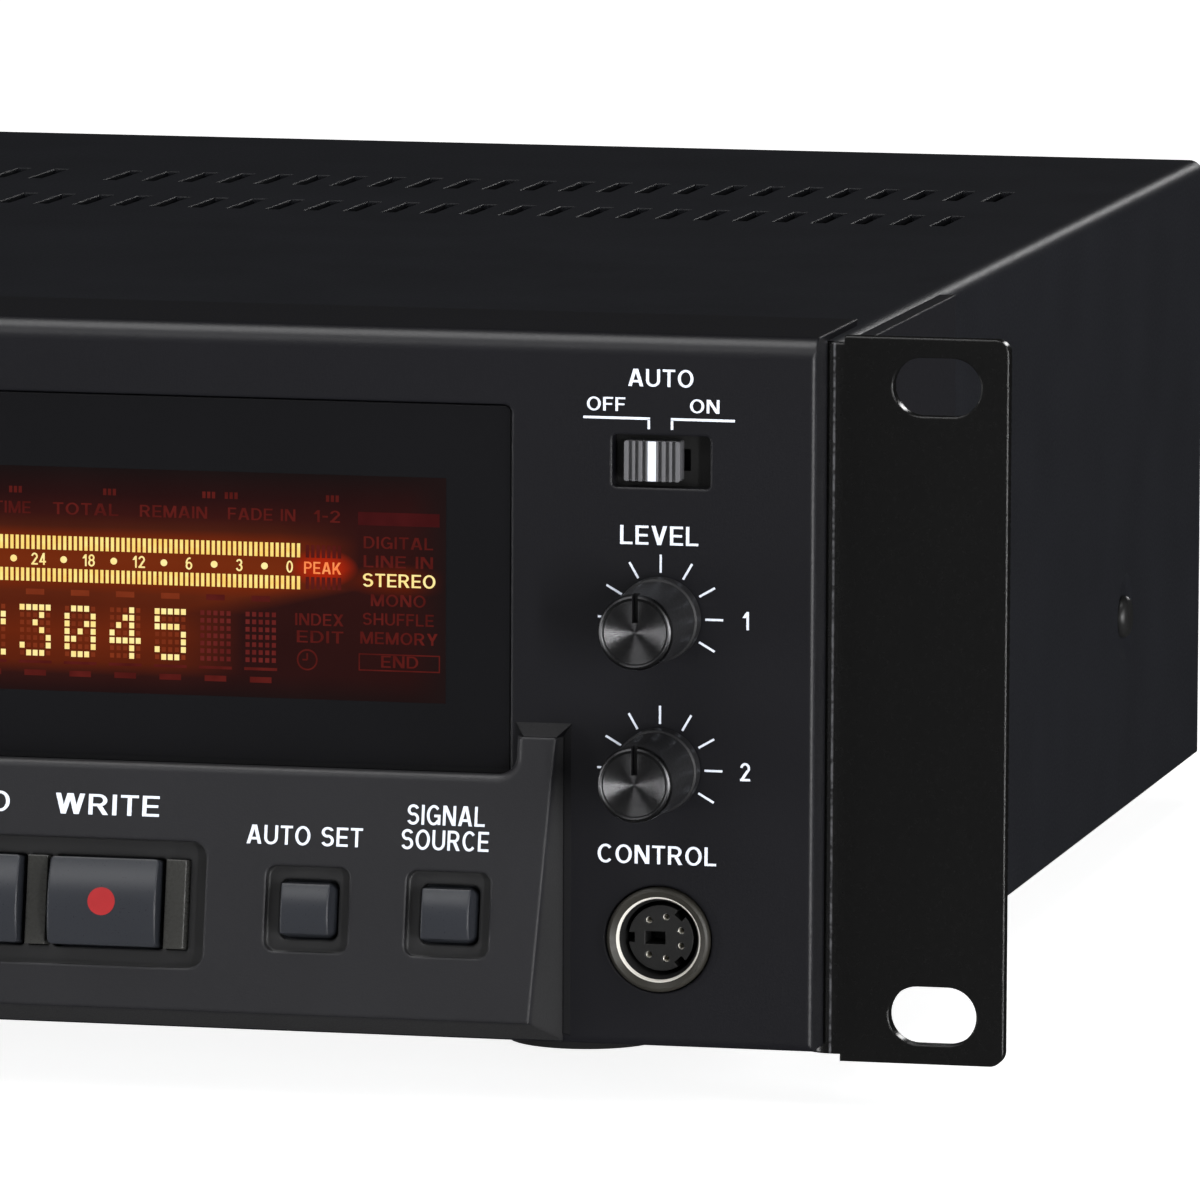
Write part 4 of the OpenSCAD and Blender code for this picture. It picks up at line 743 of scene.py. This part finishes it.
ear_places = [facing_side(s, EAR_SIDE, y, z, 20 + 17 * k) for s in (-1, 1)
              for k, (y, z) in enumerate(EAR_SCREWS)]
screws("ear_screw_heads", "ear_screws", screw_head(3.6, 1.6, 1.9, 8.0), ear_places)
case_places = [facing_side(s, COVER_SIDE, *SIDE_SCREW, 35.0) for s in (-1, 1)]
case_places += [facing_rear(x, REAR_Y, REAR_SCREW_Z, 12 + 23 * k)
                for k, x in enumerate(REAR_SCREWS)]
screws("case_screw_heads", "case_screws", screw_head(2.9, 1.4, 1.5, 7.0), case_places)


# Mains blades with chamfered tips: places of the three, then depth and half width along each

BLADES = ((158.0, 31.0), (172.0, 31.0), (165.0, 35.0))
BLADE_STEPS = ((129.5, 1.05), (143.4, 1.05), (144.65, 0.6))
BLADE_EXTRA = 1.0  # a blade is this much taller than wide, to each side
blade = bmesh.new()
for x, z in BLADES:
    close_rings(blade, [
        [blade.verts.new(Vector((x + a * half, y, z + b * (half + BLADE_EXTRA))) * MM)
         for a, b in bar(-1, 1, -1, 1)] for y, half in BLADE_STEPS])
piece("inlet_blades", blade, MATS["bright_steel"])


# Lettering on the panel: text, place, cap height and width, with the rings of marks at the knobs

TICK_IN, TICK_OUT, TICK_W = 5.5, 7.7, 0.27
SWITCH_LINES = ((190.7, 198.9, 78.02, 78.32), (198.6, 198.9, 76.9, 78.1),
                (201.45, 209.3, 78.02, 78.32), (201.45, 201.75, 76.9, 78.1))


def ticks(bm, place):
    """Nine marks round a knob, from 120 degrees left to 120 degrees right."""
    for a in range(-120, 121, 30):
        sin, cos = math.sin(math.radians(a)), math.cos(math.radians(a))
        stroke(bm, place, TICK_IN * sin, TICK_IN * cos, TICK_OUT * sin, TICK_OUT * cos, TICK_W)


ink = bmesh.new()
for text, x, z, height, width in (
        ("AUTO", 200.2, 82.05, 2.1, 8.0), ("OFF", 193.5, 79.0, 1.65, 4.7),
        ("ON", 205.6, 79.0, 1.65, 3.6), ("LEVEL", 200.1, 62.95, 2.3, 9.6),
        ("CONTROL", 200.0, 24.25, 2.25, 14.6), ("POWER", -COLUMN_X, 80.2, 2.1, 10.4),
        ("LEVEL", -COLUMN_X, 51.6, 2.1, 8.8), ("PHONES", -COLUMN_X, 24.25, 2.1, 11.6),
        ("OPEN", -19.0, 67.2, 2.1, 8.0)):
    words(ink, on_panel(x, z), text, height, width)
for line in SWITCH_LINES:
    slab(ink, on_panel(0, 0), *line)
for number, z in LEVEL_Z.items():
    words(ink, on_panel(210.8, z - 1.1), number, 2.2)
    ticks(ink, on_panel(COLUMN_X, z))
ticks(ink, on_panel(-COLUMN_X, PHONES_Z))
piece("panel_lettering", ink, PRINT)

# Lettering on the shelf, with the signs for the two track keys
LABEL_V, SIGN_V, SIGN_HALF = 20.45, 21.5, 1.1
ink = bmesh.new()
for text, x in TRANSPORT_X.items():
    words(ink, on_shelf(x - 0.25, 23.25), text, 2.5, 13.0 if text == "WRITE" else 10.2)
words(ink, on_shelf(157.4, LABEL_V), "AUTO SET", 2.3, 14.4)
words(ink, on_shelf(174.8, 23.45), "SIGNAL", 2.4, 9.6)
words(ink, on_shelf(174.8, LABEL_V), "SOURCE", 2.4, 10.8)
for text, x in (("MENU", -165.0), ("TEXT", -139.0), ("FINISH", -113.0), ("TRACK", 29.53)):
    words(ink, on_shelf(x, LABEL_V), text, 2.3)
for x, way in ((18.53, -1), (40.53, 1)):
    for k in (0, 1):
        tip, back = way * (1.9 * k + 0.1), way * (1.9 * k - 1.8)
        ends = [(back, -SIGN_HALF), (tip, 0.0), (back, SIGN_HALF)]
        shape(ink, on_shelf(x, SIGN_V), ends if way > 0 else ends[::-1])
    near, far = sorted((way * 2.2, way * 2.65))
    slab(ink, on_shelf(x, SIGN_V), near, far, -SIGN_HALF, SIGN_HALF)
words(ink, on_shelf(-55.0, 27.2), "SELECT", 2.1)
piece("shelf_lettering", ink, PRINT)

# Lettering on the rear
ink = bmesh.new()
for text, x, z, height in (
        ("LINE IN", 0.0, 32.4, 2.3), ("LINE OUT", 38.0, 32.4, 2.3), ("DIGITAL", 76.0, 32.4, 2.3),
        ("OPTICAL", 105.5, 28.6, 2.3), ("AC IN", 165.0, 42.2, 2.3), ("R", -7.0, 28.0, 2.1),
        ("L", 7.0, 28.0, 2.1), ("R", 31.0, 28.0, 2.1), ("L", 45.0, 28.0, 2.1),
        ("OUT", 69.0, 28.0, 2.1), ("IN", 83.0, 28.0, 2.1), ("IN", 99.0, 9.2, 2.1),
        ("OUT", 112.0, 9.2, 2.1)):
    words(ink, on_rear(x, z), text, height)
piece("rear_lettering", ink, PRINT)

# Marks on the switch and on the transport keys, which ride with them
SLIDER_X, SLIDER_Z, SLIDER_BACK = 199.1, 73.0, 0.2
CROWN_R, CROWN_TOP = 14.0, 2.0
MARK_T = 0.02  # half the thickness of a mark on a key
DOT_R, STOP_HALF = 1.7, 1.4
line = bmesh.new()
slab(line, on_panel(SLIDER_X, SLIDER_Z, -SLIDER_BACK), -0.5, 0.5, -2.4, 2.4)
piece("slider_mark", line, PRINT, body="mode_slider")


def crowned(bm, key, half, steps, sides):
    """A patch that follows a key's crown, with the left and right ends that sides() gives."""
    place = on_shelf(TRANSPORT_X[key], ROW_V)
    rings = []
    for k in range(steps + 1):
        v = -half + 2 * half * k / steps
        x0, x1 = sides(v)
        top = CROWN_TOP - CROWN_R + math.sqrt(CROWN_R ** 2 - v ** 2)
        rings.append([bm.verts.new(place @ (Vector((x, v, z)) * MM))
                      for x, z in bar(x0, x1, top - MARK_T, top + MARK_T)])
    close_rings(bm, rings)


def round_sides(v):
    half = math.sqrt(DOT_R ** 2 - v * v)
    return -half, half


dot = bmesh.new()
crowned(dot, "WRITE", DOT_R - 0.001, 40, round_sides)
piece("record_mark", dot, RED_PRINT, body="record_key")
mark = bmesh.new()
crowned(mark, "STOP", STOP_HALF, 8, lambda v: (-STOP_HALF, STOP_HALF))
piece("stop_mark", mark, PRINT, body="stop_key")
mark = bmesh.new()
crowned(mark, "PLAY", 1.6, 24, lambda v: (-1.3, 1.5 - 2.78 * abs(v) / 1.6))
piece("play_mark", mark, PRINT, body="play_key")
mark = bmesh.new()
for ends in ((-1.35, -0.45), (0.45, 1.35)):
    crowned(mark, "HOLD", STOP_HALF, 8, lambda v: ends)
piece("pause_mark", mark, PRINT, body="pause_key")


# Display: the field behind the segments, where light spreads round the lit rows

FIELD = (62.0, 173.7, 42.8, 70.2)
FIELD_T = 0.03  # thickness of the field; the segments lie on it
RAMP_LOW, RAMP_HIGH = 43.0, 70.0  # heights that the field's colours run between


def ramp(n, value, stops):
    node = n.add("ShaderNodeValToRGB")
    elements = node.color_ramp.elements
    while len(elements) < len(stops):
        elements.new(0.5)
    for element, (at, colour) in zip(elements, stops):
        element.position = at
        element.color = colour
    n.put(value, node.inputs["Fac"])
    return node.outputs["Color"]


def halo(n, x, z, wide, high):
    """1 near a lit word, fading to 0 around it."""
    away = n.vector("SUBTRACT", n.place(), Vector((x, 0.0, EAR_Z + z)) * MM)
    size = n.vector("MULTIPLY", away, (1.0 / (wide * MM), 0.0, 1.0 / (high * MM)))
    return n.remap(n.vector("LENGTH", size), 0.55, 1.25, 1.0, 0.0)


n = Nodes("display_field")
n.feed("Base Color", UNLIT)
n.feed("Specular IOR Level", 0.05)
n.feed("Roughness", 0.35)
rise = n.past("Z", EAR_Z + RAMP_LOW, RAMP_HIGH - RAMP_LOW)
near_rows = ramp(n, rise, (
    (0.0, lin(28, 12, 12)), (0.07, lin(44, 16, 13)), (0.13, lin(88, 29, 8)),
    (0.26, lin(102, 34, 8)), (0.39, lin(86, 29, 9)), (0.44, lin(90, 32, 11)),
    (0.49, lin(110, 35, 5)), (0.59, lin(112, 40, 9)), (0.69, lin(108, 35, 5)),
    (0.74, lin(68, 25, 12)), (0.8, lin(50, 15, 12)), (0.89, lin(34, 11, 11)),
    (1.0, lin(21, 13, 13))))
away_rows = ramp(n, rise, (
    (0.0, lin(25, 13, 13)), (0.1, lin(38, 13, 12)), (0.6, lin(42, 14, 12)),
    (0.8, lin(42, 13, 12)), (0.9, lin(33, 11, 11)), (1.0, lin(21, 13, 13))))
row_end = n.past("Z", EAR_Z + 52.8, 3.4, 143.0 * MM, 157.5 * MM)
inside = n.math("SUBTRACT", row_end, n.along("X"))
shade = n.mix(n.remap(inside, -5.5 * MM, 4.5 * MM), away_rows, near_rows)
shade = n.mix(halo(n, 158.4, 58.8, 3.6, 1.9), shade, lin(165, 33, 4))
shade = n.mix(halo(n, 167.9, 57.5, 6.2, 1.7), shade, lin(84, 23, 4))
shade = n.mix(n.past("X", 169.0, 4.7), shade, lin(25, 15, 15))
n.feed("Emission Color", shade)
n.feed("Emission Strength", n.remap(n.noise(120.0), NOISE_LOW, NOISE_HIGH, 0.92, 1.08))
area = bmesh.new()
slab(area, on_window(0, 0), *FIELD, FIELD_T)
piece("display_field", area, n.mat)

# The segments, one mesh for each kind of light
GLOWS = {
    "display_lit": glow("segments_lit", lin(255, 224, 136), lin(255, 241, 168), 1.05, 900.0),
    "display_bars": glow("segments_bar", lin(255, 212, 108), lin(255, 236, 142), 1.0, 900.0),
    "display_unlit": glow("segments_dim", lin(72, 20, 17), lin(92, 28, 24)),
    "display_block": glow("segments_block", lin(54, 14, 15), lin(66, 18, 19)),
    "display_dots": glow("segments_faint", lin(84, 24, 22), lin(104, 36, 33)),
    "display_warm_dots": glow("segments_warm", lin(112, 42, 20), lin(130, 52, 25)),
    "display_peak": glow("segments_over", lin(255, 112, 52), lin(255, 166, 100), 1.0, 900.0),
}
segments = {name: bmesh.new() for name in GLOWS}
lit, meter, dim, block, faint, warm, hot = segments.values()
face = on_window(0, 0, FIELD_T)


def on_field(x, z):
    return on_window(x, z, FIELD_T)


# Numbers of five by seven dots, the empty places at the right unlit
DIGITS = {
    "0": "01110 10001 10011 10101 11001 10001 01110",
    "1": "00100 01100 00100 00100 00100 00100 01110",
    "2": "01110 10001 00001 00110 01000 10000 11111",
    "3": "11111 00010 00100 00010 00001 10001 01110",
    "4": "00010 00110 01010 10010 11111 00010 00010",
    "5": "11111 10000 11110 00001 00001 10001 01110",
    "6": "00110 01000 10000 11110 10001 10001 01110",
    " ": "00000 00000 00000 00000 00000 00000 00000",
}
SHOWN = "1264 23045  "
CELL_W, CELL_LOW, CELL_HIGH, CELL_PITCH, LAST_CELL = 4.1, 46.9, 53.4, 5.65, 148.65
LIT_DOT, UNLIT_DOT = (0.3, 0.35), (0.25, 0.28)  # half sizes
UNDERLINE, LOW_MARK, HIGH_MARK = (46.1, 46.45), (44.6, 45.3), (54.5, 55.2)  # heights
for k, letter in enumerate(SHOWN):
    left = LAST_CELL - (len(SHOWN) - 1 - k) * CELL_PITCH
    unlit = faint if letter == " " else warm
    for r, row in enumerate(DIGITS[letter].split()):
        for c, on in enumerate(row):
            x = left + (c + 0.5) * CELL_W / 5
            z = CELL_HIGH - (r + 0.5) * (CELL_HIGH - CELL_LOW) / 7
            a, b = LIT_DOT if on == "1" else UNLIT_DOT
            slab(lit if on == "1" else unlit, face, x - a, x + a, z - b, z + b)
    slab(dim, face, left, left + CELL_W, *UNDERLINE)
    slab(dim, face, left + 0.7, left + 3.4, *LOW_MARK)
    slab(dim if letter == " " else warm, face, left + 0.9, left + 3.2, *HIGH_MARK)

# The level meter: two rows of bars, with a scale between them
BAR_PITCH, BAR_W, BAR_RIGHT, BAR_COUNT = 0.664, 0.39, 155.6, 136
METER_ROWS = ((60.05, 61.75), (56.15, 57.75))
OVER_LEFT, OVER_W, OVER_COUNT = 156.3, 0.42, 7
OVER_ROWS = ((60.05, 61.6), (56.2, 57.7))
SCALE = ("0", "3", "6", "12", "18", "24", "30", "36", "42", "48", "54", "60", "66", "72")
SCALE_RIGHT, SCALE_PITCH, SCALE_Z = 154.3, 6.28, 58.15
SCALE_DOT_R, SCALE_DOT_Z = 0.42, 58.87
WORD_H = 1.45
for k in range(BAR_COUNT):
    x = BAR_RIGHT - k * BAR_PITCH
    for row in METER_ROWS:
        slab(meter, face, x - BAR_W, x, *row)
for k in range(OVER_COUNT):
    x = OVER_LEFT + k * BAR_PITCH
    for row in OVER_ROWS:
        slab(dim, face, x, x + OVER_W, *row)
for k, number in enumerate(SCALE):
    x = SCALE_RIGHT - SCALE_PITCH * k
    words(lit, on_field(x, SCALE_Z), number, WORD_H)
    if k:
        shape(lit, on_field(x + SCALE_PITCH / 2, SCALE_DOT_Z), circle(SCALE_DOT_R, 16))

# Words and signs
CLOCK_R, CLOCK_W, CLOCK_STEPS = 1.2, 0.2, 28
words(hot, on_field(158.4, 58.1), "PEAK", WORD_H, 4.6)
words(lit, on_field(167.9, 56.75), "STEREO", 1.6, 9.0)
for text, x, z, width in (
        ("TIME", 119.6, 64.4, 4.6), ("TOTAL", 128.8, 64.4, 8.2), ("REMAIN", 139.8, 64.4, 8.4),
        ("FADE IN", 150.8, 64.4, 8.4), ("1-2", 158.9, 64.4, 3.3), ("DIGITAL", 167.8, 61.4, 8.6),
        ("LINE IN", 167.8, 59.1, 8.6), ("MONO", 167.8, 54.4, 6.8), ("SHUFFLE", 167.8, 52.1, 8.8),
        ("MEMORY", 167.9, 49.8, 9.6), ("END", 168.0, 46.95, 4.6), ("INDEX", 158.0, 51.8, 6.0),
        ("EDIT", 158.1, 49.7, 5.8)):
    words(dim, on_field(x, z), text, WORD_H, width)
slab(block, face, 162.8, 172.9, 64.2, 65.8)
for edges in ((162.9, 173.0, 46.5, 46.65), (162.9, 173.0, 48.45, 48.6),
              (162.9, 163.05, 46.65, 48.45), (172.85, 173.0, 46.65, 48.45)):
    slab(dim, face, *edges)
clock = on_field(156.5, 47.6)
dial = circle(CLOCK_R, CLOCK_STEPS)
for start, end in zip(dial, dial[1:] + dial[:1]):
    stroke(dim, clock, *start, *end, CLOCK_W)
stroke(dim, clock, 0, 0, 0, 0.8, CLOCK_W)
stroke(dim, clock, 0, 0, -0.6, 0, CLOCK_W)
for x in (120.0, 131.8, 144.2, 147.0, 159.6):
    for k in range(3):
        slab(dim, face, x - 0.8 + 0.6 * k, x - 0.4 + 0.6 * k, 66.9, 67.7)
for name, bm in segments.items():
    piece(name, bm, GLOWS[name])


# Stage: the camera as fitted to the photograph, metres

CAMERA_AT = Vector((0.520381, -1.611075, 0.250197))
CAMERA_RIGHT = Vector((0.97597211, 0.21785237, 0.00433471))
CAMERA_UP = Vector((-0.03111186, 0.11963536, 0.9923303))
CAMERA_FORWARD = Vector((-0.21566292, 0.96862156, -0.12353857))
scene = bpy.context.scene
cam_data = bpy.data.cameras.new("camera")
cam_data.sensor_width = 36.0
cam_data.lens = 379.02
cam_data.clip_end = 60.0
camera = bpy.data.objects.new("camera", cam_data)
scene.collection.objects.link(camera)
axes = Matrix((CAMERA_RIGHT, CAMERA_UP, -CAMERA_FORWARD)).transposed().to_4x4()
camera.matrix_world = Matrix.Translation(CAMERA_AT) @ axes
scene.camera = camera

# Lamps: name, place, aim, size and power
for name, place, aim, size, power in (
        ("top_box", (-0.1, -0.4, 1.7), (0.1, -0.1, 0.05), (1.5, 0.9), 19.0),
        ("front_box", (-0.45, -1.55, 1.15), (0.1, -0.1, 0.05), (1.0, 0.6), 5.0),
        ("front_strip", (1.4, -1.75, 0.05), (0.2, -0.14, 0.05), (0.14, 0.9), 22.0),
        ("right_box", (1.3, -0.7, 0.15), (0.2, -0.13, 0.05), (0.3, 1.0), 8.0),
        ("left_box", (-1.3, -0.9, 0.0), (0.2, -0.13, 0.05), (0.25, 0.9), 8.0),
        ("rear_box", (-0.8, 1.7, -0.45), (-0.05, 0.14, 0.04), (1.0, 0.6), 9.0),
        ("back_box", (0.55, 2.5, 0.66), (0.2, 0.0, 0.09), (0.4, 0.3), 2.8)):
    light = bpy.data.lights.new(name, "AREA")
    light.shape = "RECTANGLE"
    light.size, light.size_y = size
    light.energy = power
    obj = bpy.data.objects.new(name, light)
    scene.collection.objects.link(obj)
    obj.location = place
    obj.visible_camera = False
    obj.rotation_euler = (Vector(aim) - Vector(place)).to_track_quat("-Z", "Y").to_euler()

# Room light, brightest in front of the part and fading towards the rear
world = bpy.data.worlds.new("studio")
world.use_nodes = True
sky = world.node_tree
facing = sky.nodes.new("ShaderNodeSeparateXYZ")
sky.links.new(sky.nodes.new("ShaderNodeTexCoord").outputs["Generated"], facing.inputs["Vector"])
fade = sky.nodes.new("ShaderNodeMapRange")
for key, number in (("From Min", -0.2), ("From Max", 0.75), ("To Min", 1.0), ("To Max", 0.12)):
    fade.inputs[key].default_value = number
sky.links.new(facing.outputs["Y"], fade.inputs["Value"])
background = sky.nodes["Background"]
sky.links.new(fade.outputs["Result"], background.inputs["Color"])
background.inputs["Strength"].default_value = 0.12
scene.world = world
scene.view_settings.view_transform = "Standard"

# Floor: pale, not seen in reflections, and with no shadow, so that the low lamps shine past it
FLOOR_HALF = 30.0
floor_mesh = bpy.data.meshes.new("floor")
corners = bar(-FLOOR_HALF, FLOOR_HALF, -FLOOR_HALF, FLOOR_HALF)
floor_mesh.from_pydata([(x, y, 0) for x, y in corners], [], [(0, 1, 2, 3)])
floor = bpy.data.objects.new("floor", floor_mesh)
scene.collection.objects.link(floor)
n = Nodes("floor_paint")
tone = n.remap(n.noise(3.0), NOISE_LOW, NOISE_HIGH)
n.feed("Base Color", n.mix(tone, (0.8, 0.8, 0.8, 1), (0.82, 0.82, 0.82, 1)))
n.feed("Roughness", 0.9)
n.feed("Specular IOR Level", 0.0)
n.feed("Emission Color", (1.0, 1.0, 1.0, 1.0))
n.feed("Emission Strength", 0.85)
floor_mesh.materials.append(n.mat)
floor.visible_glossy = False
floor.visible_shadow = False
